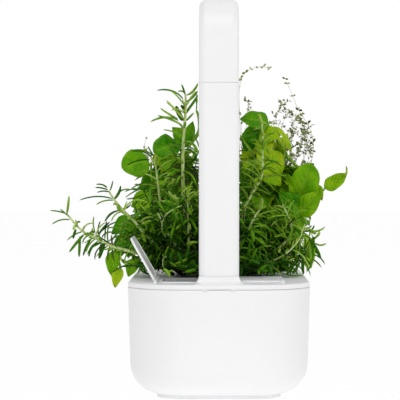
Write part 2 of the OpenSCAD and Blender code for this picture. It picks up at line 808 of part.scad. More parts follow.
module lamp_cover() color(white) {
    difference() {
        translate([0, 0, bar_low]) linear_extrude(arm_wall) cover_plan(0);
        translate([0, cover_y, 0]) {
            slab(window_w, window_l, 2, bar_low - 1, arm_wall + 2);
            slab(diffuser_w + 0.2, diffuser_l + 0.2, 1.6, bar_low + cover_ledge, arm_wall + 2);
        }
        for (y = cover_screw_y, s = [-1, 1]) translate([s * cover_screw_x, y, bar_low - 1]) {
            cylinder(r = lamp_screw_hole_r, h = arm_wall + 2);
            cylinder(r = cover_recess_r, h = cover_recess_h);
        }
    }
}

module cover_screws() color("silver") {
    for (y = cover_screw_y, s = [-1, 1]) translate([s * cover_screw_x, y, bar_low + 0.9])
        screw_up(lamp_screw_r, lamp_screw_head_r, cover_screw_head_h, cover_screw_l);
}

// ---- pods ----

// Tapered square form between two heights
module taper(w0, z0, w1, z1, r) {
    hull() {
        translate([0, 0, z0]) linear_extrude(eps) rrect(w0, w0, r * 0.7, $fn = 32);
        translate([0, 0, z1 - eps]) linear_extrude(eps) rrect(w1, w1, r, $fn = 32);
    }
}

// Width of the cup's outside at height z
function cup_w(z) = cup_foot_w + (cup_top_w - cup_foot_w) * (z - cup_floor_z) / cup_d;

module pod_cup(i) {
    translate([0, pod_y[i], 0]) difference() {
        union() {
            taper(cup_foot_w, cup_floor_z, cup_top_w, lid_top - flange_sink, pod_r);
            slab(flange_w, flange_w, pod_r + 4, lid_top - flange_sink, flange_t);
        }
        taper(cup_foot_w - 2 * cup_wall, cup_floor_z + cup_wall, cup_top_w - 2 * cup_wall,
              lid_top - flange_sink + eps, pod_r - cup_wall);
        slab(cup_top_w - 2 * cup_wall, cup_top_w - 2 * cup_wall, pod_r - cup_wall, lid_top - flange_sink, 10);
        slab(cup_top_w + 2, cup_top_w + 2, pod_r + 1, cup_mouth - cap_t, 10);
        translate([-wick_w / 2 - 0.3, -wick_t / 2 - 0.3, cup_floor_z - 1])
            cube([wick_w + 0.6, wick_t + 0.6, cup_wall + 2]);
        for (a = [0, 90], k = [-1, 0, 1]) rotate([0, 0, a])
            translate([k * 11 - 2, -pod_open, cup_floor_z + 5]) cube([4, 2 * pod_open, cup_d * 0.45]);
    }
}

module medium(i) {
    foot_z = cup_floor_z + cup_wall;
    slack = 0.6;
    translate([0, pod_y[i], 0]) taper(cup_w(foot_z) - 2 * cup_wall - slack, foot_z,
                                      cup_w(medium_top) - 2 * cup_wall - slack, medium_top, pod_r - 2);
}

module wick(i) {
    top = cup_floor_z + cup_wall;
    translate([-wick_w / 2, pod_y[i] - wick_t / 2, tank_floor + 0.3])
        cube([wick_w, wick_t, top - tank_floor - 0.3]);
}

module pod_cap(i) {
    translate([0, pod_y[i], 0]) difference() {
        slab(cup_top_w + 2 - 2 * seat, cup_top_w + 2 - 2 * seat, pod_r + 1 - seat, cup_mouth - cap_t, cap_t);
        translate([0, 0, cup_mouth - 5]) cylinder(r = cap_hole_r, h = 10);
    }
}

module pod_cup_front() color("darkslategray") pod_cup(0);
module pod_cup_middle() color("darkslategray") pod_cup(1);
module pod_cup_rear() color("darkslategray") pod_cup(2);
module medium_front() color("saddlebrown") medium(0);
module medium_middle() color("saddlebrown") medium(1);
module medium_rear() color("saddlebrown") medium(2);
module wick_front() color("beige") wick(0);
module wick_middle() color("beige") wick(1);
module wick_rear() color("beige") wick(2);
module pod_cap_front() color("dimgray") pod_cap(0);
module pod_cap_middle() color("dimgray") pod_cap(1);
module pod_cap_rear() color("dimgray") pod_cap(2);

// ---- herbs: plain closed forms of the space that the leaves fill ----

// One lump of leaves between balls [x, y, z, r]; y runs from the pod's middle and z from the lid
module lump(i, balls) {
    hull() for (b = balls) translate([b[0], pod_y[i] + b[1], lid_top + b[2]]) sphere(b[3], $fn = 18);
}

// Stem of radius r from the medium to a point in the leaves
module stem(i, foot, top) {
    r = top[3];
    hull() {
        translate([foot[0], pod_y[i] + foot[1], medium_top]) cylinder(r = r, h = 1, $fn = 20);
        translate([top[0], pod_y[i] + top[1], lid_top + top[2]]) sphere(r, $fn = 20);
    }
}

module rosemary() color("olivedrab") {
    stem(0, at(-6, 0, 0, 3), at(-26, 4, 22, 3));
    stem(0, at(6, 2, 0, 3), at(24, 4, 22, 3));
    // Low mound that spills over the lid
    lump(0, [for (side = [-1, 1], dy = [-16, 16]) at(43 * side, dy, 19, 16),
             for (side = [-1, 1], dy = [-9, 9]) at(25 * side, dy, 42 + 4 * side, 16)]);
    // Sprigs, from the foot of each to its tip
    lump(0, [at(-24, -12, 46, 14), left_of(-12, -14, 96, 12), left_of(-12, -18, -11, 11) + up(rosemary_h)]);
    lump(0, [at(-38, 2, 46, 15), at(-46, 2, 76, 12)]);
    lump(0, [at(-46, -16, 30, 14), at(-63, -29, 44, 13), at(-78, -33, 60, 10)]);
    lump(0, [at(-58, -16, 23, 12), at(-86, -37, 25, 12), at(-108, -38, 45, 11)]);
    lump(0, [at(-36, -22, 44, 12), at(-37, -54, 51, 9), left_of(-9, -92, 53, 8)]);
    lump(0, [at(-24, -22, 32, 13), at(-24, -31, 56, 9)]);
    lump(0, [at(22, -4, 52, 15), right_of(15, 4, 92, 12), right_of(14, 14, -30, 9) + up(rosemary_h)]);
    lump(0, [at(34, -18, 22, 15), at(54, -20, 36, 11)]);
    lump(0, [at(26, -18, 38, 13), at(31, -28, 50, 9)]);
}

module basil() color("forestgreen") {
    stem(1, at(-4, 0, 0, 3), at(-16, 2, 26, 3));
    stem(1, at(6, -2, 0, 3), at(20, 2, 26, 3));
    // Low mound, then the left and the right head of leaves
    lump(1, [at(-38, 2, 28, 24), at(44, 2, 28, 24), at(-16, 2, 38, 20), at(20, 2, 42, 20)]);
    lump(1, [at(-42, 2, 42, 24), at(-40, 2, 74, 22)]);
    lump(1, [at(48, 2, 44, 28), at(46, 2, 78, 26), at(38, -4, -16, 14) + up(basil_h)]);
    // Broad leaves that stand out
    lump(1, [at(-44, -6, 80, 14), at(-62, -18, 82, 11)]);
    lump(1, [at(60, -4, 60, 16), at(90, -7, 70, 11)]);
    lump(1, [at(-52, -4, 30, 16), at(-78, -17, 6, 11)]);
    lump(1, [at(56, -4, 30, 16), at(72, -14, 4, 9)]);
}

module thyme() color("darkseagreen") {
    stem(2, at(-4, 0, 0, 2.5), at(-14, 0, 26, 2.5));
    stem(2, at(6, 0, 0, 2.5), at(20, 0, 26, 2.5));
    // Low mound
    lump(2, [for (side = [-1, 1], dy = [-11, 11]) at(42 * side, dy, 20, 14),
             for (side = [-1, 1], dy = [-5, 5]) at(22 * side, dy, 42 + 3 * side, 14)]);
    // Open sprays, from the foot of each to its tip
    lump(2, [at(34, 0, 46, 12), at(60, 0, 88, 16), at(54, 0, -42, 11) + up(thyme_h)]);
    lump(2, [at(66, 0, 66, 9), at(73, 2, 92, 6), at(63, 2, -36, 6) + up(thyme_h)]);
    lump(2, [at(63, 2, -36, 6) + up(thyme_h), at(54, -2, -15, 4) + up(thyme_h)]);
    lump(2, [right_of(10, 0, 48, 9), right_of(7, -2, 94, 6), right_of(7, -4, -22, 5) + up(thyme_h)]);
    lump(2, [right_of(7, -4, -22, 5) + up(thyme_h), right_of(13, 0, -6, 5) + up(thyme_h)]);
    lump(2, [right_of(13, 0, -6, 5) + up(thyme_h), at(42, 4, -5, 4) + up(thyme_h)]);
    lump(2, [at(-30, -2, 44, 11), at(-52, -8, 80, 8), at(-60, -10, 100, 6)]);
    lump(2, [at(-34, -2, 40, 10), at(-70, -6, 86, 7)]);
}

water_tank();
ring_foot();
lid();
arm_foot();
foot_screws();
power_inlet();
foot_contacts();
fill_flap();
fill_flap_pin();
gauge_flap();
gauge_flap_pin();
gauge_tube();
float_body();
float_stem();
extension_arm();
arm_plug();
arm_pins();
arm_wires();
arm_socket();
arm_contacts();
lamp_shell();
lamp_plug();
lamp_pins();
driver_board();
driver_parts();
lamp_wires();
heat_spreader();
led_board();
leds();
board_screws();
lamp_diffuser();
lamp_cover();
cover_screws();
pod_cup_front();
pod_cup_middle();
pod_cup_rear();
medium_front();
medium_middle();
medium_rear();
wick_front();
wick_middle();
wick_rear();
pod_cap_front();
pod_cap_middle();
pod_cap_rear();
rosemary();
basil();
thyme();
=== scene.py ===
"""Dresses the countertop hydroponic garden: moulded shells, finishes for every part, and three herbs."""
import logging
import math
from dataclasses import dataclass, field, replace
from enum import Enum
from typing import Any, Iterable, Sequence

import bmesh
import bpy
import numpy as np
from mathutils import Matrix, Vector
from numpy.typing import NDArray


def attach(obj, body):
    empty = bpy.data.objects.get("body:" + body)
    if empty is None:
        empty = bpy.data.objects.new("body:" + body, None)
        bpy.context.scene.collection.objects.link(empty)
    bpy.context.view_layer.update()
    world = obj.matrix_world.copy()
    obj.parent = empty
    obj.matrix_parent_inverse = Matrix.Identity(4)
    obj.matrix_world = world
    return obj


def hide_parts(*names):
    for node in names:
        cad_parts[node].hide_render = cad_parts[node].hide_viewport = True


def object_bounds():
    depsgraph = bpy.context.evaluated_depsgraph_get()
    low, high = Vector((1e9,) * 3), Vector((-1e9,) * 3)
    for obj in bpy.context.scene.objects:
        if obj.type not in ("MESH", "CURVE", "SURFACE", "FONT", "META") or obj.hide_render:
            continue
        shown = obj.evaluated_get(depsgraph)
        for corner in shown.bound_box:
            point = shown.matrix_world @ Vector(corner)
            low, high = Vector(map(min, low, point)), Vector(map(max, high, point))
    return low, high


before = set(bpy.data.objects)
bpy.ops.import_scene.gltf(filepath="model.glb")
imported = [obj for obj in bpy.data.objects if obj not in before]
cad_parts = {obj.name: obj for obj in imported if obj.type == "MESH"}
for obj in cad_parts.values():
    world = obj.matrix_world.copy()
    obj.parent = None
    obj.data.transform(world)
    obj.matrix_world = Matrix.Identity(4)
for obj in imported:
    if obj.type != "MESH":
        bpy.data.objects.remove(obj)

Array = NDArray[np.float64]
Point = tuple[float, float, float]
Tree = bpy.types.NodeTree
Socket = bpy.types.NodeSocket
MM = 0.001
# Turn in radians, and shares of a width and a depth, from one piece to the next in an even spread
GOLDEN_TURN = 2.39996
GOLDEN_SHARE = 0.618
DEPTH_SHARE = 0.381
# Least bend of a leaf, in radians, and least length of a vector, so that nothing is divided by nought
LEAST_BEND = 1e-4
LEAST_LENGTH = 1e-12
# Steps in which a spline's piece is worked out
SPLINE_STEPS = 24
CAD_BOX = [list(corner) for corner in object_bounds()]
LOG = logging.getLogger("garden")


# ---- numbers ----

def linear(code: str) -> tuple[float, float, float, float]:
    """Turns an sRGB hex colour into a linear RGBA colour.

    Args:
        code: Colour such as "#F4F4F6".

    Returns:
        Red, green, blue and alpha, each from 0 to 1, linear.
    """
    value = np.array([int(code[i:i + 2], 16) for i in (1, 3, 5)]) / 255
    value = np.where(value <= 0.04045, value / 12.92, ((value + 0.055) / 1.055) ** 2.4)
    return (*map(float, value), 1.0)


def unit(v: Array) -> Array:
    """Scales vectors along the last axis to length one.

    Args:
        v: Vectors in the last axis.

    Returns:
        The same vectors divided by their lengths.
    """
    return v / np.maximum(np.linalg.norm(v, axis=-1, keepdims=True), LEAST_LENGTH)


def spline(points: Sequence[Point], step: float) -> Array:
    """Smooth line through points: Catmull-Rom pieces, then equal steps of its own length.

    Each piece is 0.5 (2 b + (c - a) t + (2 a - 5 b + 4 c - d) t^2 + (3 b - a - 3 c + d) t^3).

    Args:
        points: Points that the line passes through, in mm.
        step: Distance between the points returned, in mm.

    Returns:
        Points along the line, shape (n, 3).
    """
    p = np.array(points, float)
    ends = np.vstack([2 * p[0] - p[1], p, 2 * p[-1] - p[-2]])
    a, b, c, d = (ends[i:len(p) - 1 + i, None] for i in range(4))
    t = np.linspace(0, 1, SPLINE_STEPS, endpoint=False)[None, :, None]
    line = 0.5 * (2 * b + (c - a) * t + (2 * a - 5 * b + 4 * c - d) * t ** 2
                  + (3 * b - a - 3 * c + d) * t ** 3)
    line = np.vstack([line.reshape(-1, 3), p[-1]])
    run = np.r_[0, np.cumsum(np.linalg.norm(np.diff(line, axis=0), axis=1))]
    at = np.linspace(0, run[-1], max(3, int(run[-1] / step) + 1))
    return np.stack([np.interp(at, run, line[:, k]) for k in range(3)], axis=1)


def across(tangent: Array, hint: Sequence[float] = (0.13, 0.31, 0.94)) -> Array:
    """Unit vectors square to tangents.

    Args:
        tangent: Unit tangents, shape (..., 3).
        hint: Direction that the answer leans away from.

    Returns:
        Unit vectors, each at right angles to its tangent.
    """
    return unit(np.cross(tangent, np.broadcast_to(np.array(hint, float), tangent.shape)))


def around(tangent: Array, turn: Array) -> Array:
    """Unit vectors square to tangents, each turned about its tangent: side cos(turn) + up sin(turn).

    Args:
        tangent: Unit tangents, shape (n, 3).
        turn: Angle of each in radians.

    Returns:
        Unit vectors, shape (n, 3).
    """
    side = across(tangent)
    return side * np.cos(turn)[:, None] + np.cross(side, tangent) * np.sin(turn)[:, None]


def leaning(tangent: Array, out: Array, lean_deg: Array) -> tuple[Array, Array]:
    """Direction and face of leaves that leave their stem at an angle a.

    The direction is cos(a) tangent + sin(a) out, and the face is sin(a) tangent - cos(a) out.

    Args:
        tangent: Unit tangents of the stem, shape (n, 3).
        out: Unit vectors square to them, to which the leaves lean.
        lean_deg: Angle of each leaf in degrees.

    Returns:
        Unit vectors along the leaves and square to their upper sides.
    """
    a = np.radians(lean_deg)[:, None]
    return unit(np.cos(a) * tangent + np.sin(a) * out), unit(np.sin(a) * tangent - np.cos(a) * out)


def linked(name: str, data: bpy.types.ID) -> bpy.types.Object:
    """Makes an object at the origin and links it to the scene.

    Args:
        name: Name of the object.
        data: Its mesh, camera or lamp.

    Returns:
        The new object.
    """
    made = bpy.data.objects.new(name, data)
    bpy.context.scene.collection.objects.link(made)
    return made


# ---- meshes ----

@dataclass
class Surface:
    """Closed lofts held as whole arrays, ready to become one mesh."""

    points: Array
    faces: list[NDArray[np.int64]]
    uv: Array
    tint: Array
    under: Array

    @staticmethod
    def loft(rings: Array, first: Array, last: Array, tint: Array, under: Array | None = None) -> "Surface":
        """Skins n lofts: quads between neighbouring rings, and a fan of triangles at each end point.

        Where the signed volume of the first loft is below nought, all faces are turned to point outwards.

        Args:
            rings: Ring points, shape (lofts, rings, points in a ring, 3), in mm.
            first: End point before the first ring of each loft, shape (lofts, 3).
            last: End point after the last ring of each loft, shape (lofts, 3).
            tint: One number from 0 to 1 for each loft, for its colour.
            under: One number for each ring point, 1 on a leaf's lower side.

        Returns:
            The lofts as one surface.
        """
        n, s, r, _ = rings.shape
        size = s * r + 2
        points = np.concatenate([first[:, None], rings.reshape(n, s * r, 3), last[:, None]], axis=1)
        i, k = np.meshgrid(np.arange(s - 1), np.arange(r), indexing="ij")
        nxt = (k + 1) % r
        near, far = 1 + i * r, 1 + (i + 1) * r
        quads = np.stack([near + k, near + nxt, far + nxt, far + k], -1).reshape(-1, 4)
        k, nxt = np.arange(r), (np.arange(r) + 1) % r
        top = 1 + (s - 1) * r
        caps = np.vstack([np.stack([np.zeros_like(k), 1 + nxt, 1 + k], -1),
                          np.stack([np.full_like(k, size - 1), top + k, top + nxt], -1)])
        a, b, c, d = (points[0][quads[:, j]] for j in range(4))
        e, f, g = (points[0][caps[:, j]] for j in range(3))
        volume = (np.einsum("ij,ij->", a, np.cross(b, c)) + np.einsum("ij,ij->", a, np.cross(c, d))
                  + np.einsum("ij,ij->", e, np.cross(f, g)))
        if volume < 0:
            quads, caps = quads[:, ::-1], caps[:, ::-1]
        shift = (np.arange(n) * size)[:, None, None]
        along = np.r_[0, np.repeat((np.arange(s) + 1) / (s + 1), r), 1]
        side = np.r_[0.5, np.tile(0.5 + 0.5 * np.cos(2 * np.pi * np.arange(r) / r), s), 0.5]
        below = np.zeros(size) if under is None else np.r_[0.5, np.tile(under, s), 0.5]
        return Surface(points.reshape(-1, 3),
                       [(quads[None] + shift).reshape(-1, 4), (caps[None] + shift).reshape(-1, 3)],
                       np.tile(np.stack([along, side], 1), (n, 1)), np.repeat(tint, size), np.tile(below, n))

    @staticmethod
    def joined(parts: Sequence["Surface"]) -> "Surface":
        """Puts surfaces one after another, with the faces' numbers moved on.

        Args:
            parts: Surfaces to join.

        Returns:
            One surface.
        """
        shift = np.cumsum([0] + [len(p.points) for p in parts[:-1]])
        return Surface(np.vstack([p.points for p in parts]),
                       [f + k for p, k in zip(parts, shift) for f in p.faces],
                       np.vstack([p.uv for p in parts]), np.concatenate([p.tint for p in parts]),
                       np.concatenate([p.under for p in parts]))

    def mesh(self, name: str) -> bpy.types.Object:
        """Makes a smooth mesh object at the origin, with a UV map and the tint and under attributes.

        Args:
            name: Name of the object.

        Returns:
            The new object, in metres.
        """
        data = bpy.data.meshes.new(name)
        data.from_pydata((self.points * MM).tolist(), [], [f for part in self.faces for f in part.tolist()])
        corners = np.empty(len(data.loops), np.int32)
        data.loops.foreach_get("vertex_index", corners)
        data.uv_layers.new(name="leaf").data.foreach_set("uv", self.uv[corners].astype(np.float32).ravel())
        for key, values in (("tint", self.tint), ("under", self.under)):
            data.attributes.new(key, "FLOAT", "POINT").data.foreach_set("value", values.astype(np.float32))
        data.polygons.foreach_set("use_smooth", np.ones(len(data.polygons), bool))
        data.update()
        return linked(name, data)


def tubes(paths: Iterable[tuple[Array, float, float]], tint: float, sides: int = 6) -> Surface:
    """Round stems: a circle carried along each path, its radius running evenly from foot to tip.

    Args:
        paths: Path points in mm, radius at the foot and radius at the tip, for each stem.
        tint: Colour number for all of them.
        sides: Points round a stem.

    Returns:
        The stems as one surface.
    """
    turn = 2 * np.pi * np.arange(sides) / sides
    parts = []
    for path, foot, tip in paths:
        tangent = unit(np.gradient(path, axis=0))
        side = across(tangent)
        up = np.cross(side, tangent)
        radius = np.linspace(foot, tip, len(path))[:, None, None]
        ring = path[:, None] + radius * (side[:, None] * np.cos(turn)[None, :, None]
                                         + up[:, None] * np.sin(turn)[None, :, None])
        end = path[-1] + tangent[-1] * tip
        parts.append(Surface.loft(ring[None], path[:1], end[None], np.array([tint])))
    return Surface.joined(parts)


class Outline(Enum):
    """Outlines of leaves, each as shares of the full width at shares of the length."""

    NEEDLE = ((0, 0.35), (0.08, 0.7), (0.25, 0.95), (0.5, 1.0), (0.75, 0.9), (0.92, 0.6), (1, 0.12))
    OVATE = ((0, 0.06), (0.04, 0.2), (0.1, 0.56), (0.2, 0.87), (0.33, 1.0), (0.48, 0.98), (0.63, 0.83),
             (0.78, 0.57), (0.9, 0.27), (1, 0.02))
    ROUND = ((0, 0.08), (0.05, 0.4), (0.15, 0.78), (0.32, 0.98), (0.5, 1.0), (0.68, 0.92), (0.84, 0.68),
             (0.95, 0.35), (1, 0.05))
    OVAL = ((0, 0.1), (0.15, 0.6), (0.4, 1.0), (0.65, 0.95), (0.88, 0.5), (1, 0.05))

    def width(self, s: Array) -> Array:
        """Share of the full width at shares s of the length, read along the outline."""
        x, y = np.array(self.value).T
        return np.interp(s, x, y)


@dataclass
class Blades:
    """Leaves as arrays with one row for each leaf, all lengths in mm.

    A leaf's middle line is an arc: it starts along `along` and turns by `curl` away from `face`. At share s
    of the length the point is length (sin(curl s) / curl along - (1 - cos(curl s)) / curl face). A ring round
    it is a flat lens: cos(turn) half widths across and sin(turn) half thicknesses up. Its two halves rise
    from the midrib by `fold` and its margins drop again by `cup`, each as a share of the half width. `ruffle`
    lets the margins wave up and down along the length.
    """

    base: Array
    along: Array
    face: Array
    length: Array
    width: Array
    curl: Array
    fold: Array
    tint: Array
    outline: Outline
    thickness: float = 0.5
    stations: int = 5
    sides: int = 4
    ruffle: float = 0.0
    cup: float = 0.0

    @staticmethod
    def between(rows: Sequence["Leaf"], outline: Outline, **options: Any) -> "Blades":
        """Leaves from a foot and a tip: the arc's chord is the line between them.

        Args:
            rows: One Leaf for each leaf.
            outline: Outline that they share.
            options: Further fields of Blades.

        Returns:
            The leaves as arrays.
        """
        keys = ("base", "tip", "face", "width", "curl", "fold", "tint")
        columns = (np.array([getattr(r, k) for r in rows], float) for k in keys)
        base, tip, face, width, curl, fold, tint = columns
        chord = tip - base
        span = np.linalg.norm(chord, axis=1)
        axis = unit(chord)
        face = unit(face - axis * np.sum(face * axis, axis=1, keepdims=True))
        half = np.where(np.abs(curl) < LEAST_BEND, LEAST_BEND, curl) / 2
        c, s = np.cos(half)[:, None], np.sin(half)[:, None]
        along, up = c * axis + s * face, c * face - s * axis
        length = span * half / np.sin(half)
        return Blades(base, along, up, length, width, 2 * half, fold, tint, outline, **options)

    def points(self) -> tuple[Array, Array, Array]:
        """Works out the rings and end points of all leaves, by the formula of the class.

        Returns:
            Rings of shape (leaves, stations, sides, 3), first points and last points.
        """
        s = (np.arange(self.stations) + 0.5) / self.stations
        # Drawn in to the middle a little, so that the first and last rings stay off the leaf's ends
        s = 0.5 + (s - 0.5) * (1 - 0.6 / self.stations)
        bend = np.where(np.abs(self.curl) < LEAST_BEND, LEAST_BEND, self.curl)[:, None]
        side = np.cross(self.along, self.face)[:, None, None]

        def centre(t: Array) -> tuple[Array, Array]:
            """Point and upward normal of the middle line at shares t of the length."""
            a, f, turn = self.along[:, None], self.face[:, None], (bend * t)[..., None]
            reach = (self.length[:, None] / bend)[..., None]
            here = self.base[:, None] + reach * (np.sin(turn) * a - (1 - np.cos(turn)) * f)
            return here, np.cos(turn) * f + np.sin(turn) * a

        middle, normal = centre(s)
        turn = 2 * np.pi * np.arange(self.sides) / self.sides
        half = (self.width[:, None] / 2 * self.outline.width(s))[..., None, None]
        c, h = np.cos(turn)[None, None, :, None], np.sin(turn)[None, None, :, None]
        thick = self.thickness / 2 * np.sqrt(self.outline.width(s))[None, :, None, None]
        phase = 11 * s[None, :, None, None] + 36 * self.tint[:, None, None, None]
        wave = self.ruffle * np.sin(phase + 1.7 * c)
        lift = thick * h + half * (self.fold[:, None, None, None] * np.abs(c) + (wave - self.cup) * c ** 2)
        rings = middle[:, :, None] + side * half * c + normal[:, :, None] * lift
        ends = centre(np.array([0.0, 1.0]))[0]
        return rings, ends[:, 0], ends[:, 1]

    def with_rows(self, **rows: Array) -> "Blades":
        """These leaves followed by further ones.

        Args:
            rows: The further leaves' value of each array field.

        Returns:
            All the leaves.
        """
        longer = {key: np.concatenate([getattr(self, key), value]) for key, value in rows.items()}
        return replace(self, **longer)

    def kept(self, keep: NDArray[np.bool_]) -> "Blades":
        """The leaves for which `keep` is true."""
        keys = ("base", "along", "face", "length", "width", "curl", "fold", "tint")
        return replace(self, **{key: getattr(self, key)[keep] for key in keys})

    def surface(self) -> Surface:
        """Skins the leaves.

        Returns:
            The leaves as one surface.
        """
        rings, first, last = self.points()
        under = (np.sin(2 * np.pi * np.arange(self.sides) / self.sides) < -0.01).astype(float)
        return Surface.loft(rings, first, last, self.tint, under)


@dataclass(frozen=True)
class Leaf:
    """One placed leaf: foot, tip and width in mm, the way that it faces, its bend, its fold and its tone."""

    base: Point
    tip: Point
    width: float
    face: Point = (0, -1, 0.4)
    curl: float = 0.5
    fold: float = 0.25
    tint: float = 0.5


# ---- node trees ----

def add(tree: Tree, kind: str, settings: dict[str, Any] | None = None, **sockets: Any) -> bpy.types.Node:
    """Adds one node with its settings and links.

    Args:
        tree: Tree that gets the node.
        kind: Blender's name for the node.
        settings: Properties of the node itself.
        sockets: A value or another socket for each input, with _ for a space; in0, in1 count inputs.

    Returns:
        The new node.
    """
    made = tree.nodes.new(kind)
    for key, value in (settings or {}).items():
        setattr(made, key, value)
    for key, value in sockets.items():
        counted = key[:2] == "in" and key[2:].isdigit()
        socket = made.inputs[int(key[2:]) if counted else key.replace("_", " ")]
        if isinstance(value, Socket):
            tree.links.new(value, socket)
        else:
            socket.default_value = value
    return made


def ramp(tree: Tree, factor: Socket, stops: Sequence[tuple[float, str]]) -> Socket:
    """Turns a number into a colour between named stops.

    Args:
        tree: Tree that gets the ramp.
        factor: Number from 0 to 1.
        stops: Place and sRGB hex colour of each stop.

    Returns:
        The colour socket.
    """
    made = add(tree, "ShaderNodeValToRGB", Fac=factor)
    band = made.color_ramp.elements
    (band[0].position, low), (band[1].position, high) = stops[0], stops[-1]
    band[0].color, band[1].color = linear(low), linear(high)
    for place, code in stops[1:-1]:
        band.new(place).color = linear(code)
    return made.outputs["Color"]


class Recipe:
    """A material being made: its tree, its shader and the object coordinates that its patterns read."""

    def __init__(self, name: str, **shader: Any) -> None:
        """Starts a material.

        Args:
            name: Name of the real material and how it was made.
            shader: Values for the shader's own sockets.
        """
        self.material = bpy.data.materials.new(name)
        self.material.use_nodes = True
        self.tree = self.material.node_tree
        self.tree.nodes.clear()
        self.shader = add(self.tree, "ShaderNodeBsdfPrincipled", **shader)
        add(self.tree, "ShaderNodeOutputMaterial", Surface=self.shader.outputs[0])
        self.here = add(self.tree, "ShaderNodeTexCoord").outputs["Object"]

    def noise(self, size_mm: float, detail: float = 3.0, stretch: Point = (1, 1, 1),
              distortion: float = 0.0) -> Socket:
        """Noise whose lumps are about size_mm across.

        Args:
            size_mm: Size of a lump in mm.
            detail: Octaves of finer noise.
            stretch: How much finer the pattern is along each axis.
            distortion: How much the lumps are twisted.

        Returns:
            The noise value.
        """
        place = add(self.tree, "ShaderNodeMapping", Vector=self.here, Scale=stretch).outputs[0]
        return add(self.tree, "ShaderNodeTexNoise", Vector=place, Scale=1 / (size_mm * MM), Detail=detail,
                   Distortion=distortion).outputs[0]

    def bump(self, height: Socket, depth_mm: float, after: Socket | None = None) -> Socket:
        """Raises the surface by a height of at most depth_mm.

        Args:
            height: Number from 0 to 1.
            depth_mm: Full height in mm.
            after: Normal that this one adds to.

        Returns:
            The new normal, which the shader already reads.
        """
        made = add(self.tree, "ShaderNodeBump", Height=height, Distance=depth_mm * MM, Strength=1.0)
        if after is not None:
            self.tree.links.new(after, made.inputs["Normal"])
        self.tree.links.new(made.outputs[0], self.shader.inputs["Normal"])
        return made.outputs[0]

    def span(self, value: Socket, low: float, high: float, start: float = 0.3, end: float = 0.7) -> Socket:
        """Maps a number between start and end to one between low and high.

        Args:
            value: The number.
            low: Result at start.
            high: Result at end.
            start: Lower end of the number's span.
            end: Upper end of the number's span.

        Returns:
            The mapped number.
        """
        made = add(self.tree, "ShaderNodeMapRange", in0=value, in1=start, in2=end, in3=low, in4=high)
        return made.outputs[0]

    def use(self, socket: str, value: Socket) -> None:
        """Links a value to one of the shader's sockets."""
        self.tree.links.new(value, self.shader.inputs[socket])


# ---- finishes ----

@dataclass(frozen=True)
class Moulded:
    """Injection-moulded plastic: even colour, a faintly wavy skin and a soft gloss that varies a little."""

    name: str
    colour: str
    shade: str
    roughness: float = 0.35
    ior: float = 1.53
    grain_mm: float = 0.5
    depth_mm: float = 0.004

    def make(self) -> bpy.types.Material:
        """Makes the material.

        Returns:
            The finished material.
        """
        r = Recipe(self.name, IOR=self.ior)
        cloud = r.noise(26, detail=2)
        r.use("Base Color", ramp(r.tree, cloud, ((0.35, self.shade), (0.65, self.colour))))
        r.use("Roughness", r.span(r.noise(9, detail=3), self.roughness * 0.88, self.roughness * 1.12))
        if self.depth_mm:
            r.bump(r.noise(self.grain_mm, detail=2), self.depth_mm)
        return r.material


@dataclass(frozen=True)
class Metal:
    """Bare or plated metal, with fine lines along one way where it was drawn or brushed."""

    name: str
    colour: str
    shade: str
    roughness: float
    lines: Point = (1, 1, 1)
    line_mm: float = 0.6

    def make(self) -> bpy.types.Material:
        """Makes the material.

        Returns:
            The finished material.
        """
        r = Recipe(self.name, Metallic=1.0)
        streak = r.noise(self.line_mm, detail=4, stretch=self.lines)
        r.use("Base Color", ramp(r.tree, streak, ((0.3, self.shade), (0.7, self.colour))))
        r.use("Roughness", r.span(streak, self.roughness * 0.8, self.roughness * 1.25))
        r.bump(streak, 0.006)
        return r.material


@dataclass(frozen=True)
class Clear:
    """Clear or milky moulded plastic that light passes through."""

    name: str
    colour: str
    roughness: float
    transmission: float
    ior: float = 1.58

    def make(self) -> bpy.types.Material:
        """Makes the material.

        Returns:
            The finished material.
        """
        r = Recipe(self.name, IOR=self.ior, Transmission_Weight=self.transmission)
        r.use("Base Color", ramp(r.tree, r.noise(12, detail=2), ((0.3, self.colour), (0.7, "#FFFFFF"))))
        r.use("Roughness", r.span(r.noise(3, detail=3), self.roughness * 0.8, self.roughness * 1.2))
        r.bump(r.noise(1.5, detail=2), 0.002)
        return r.material


@dataclass(frozen=True)
class Fibre:
    """Matted fibres, such as felt, coir or foam: patches of colour, strands and a rough matt surface."""

    name: str
    colours: tuple[str, str, str]
    strand_mm: float
    depth_mm: float
    stretch: Point = (1, 1, 1)

    def make(self) -> bpy.types.Material:
        """Makes the material.

        Returns:
            The finished material.
        """
        r = Recipe(self.name, Roughness=0.92, IOR=1.45)
        strands = r.noise(self.strand_mm, detail=5, stretch=self.stretch, distortion=1.2)
        low, mid, high = self.colours
        r.use("Base Color", ramp(r.tree, strands, ((0.3, low), (0.5, mid), (0.72, high))))
        r.bump(strands, self.depth_mm)
        return r.material


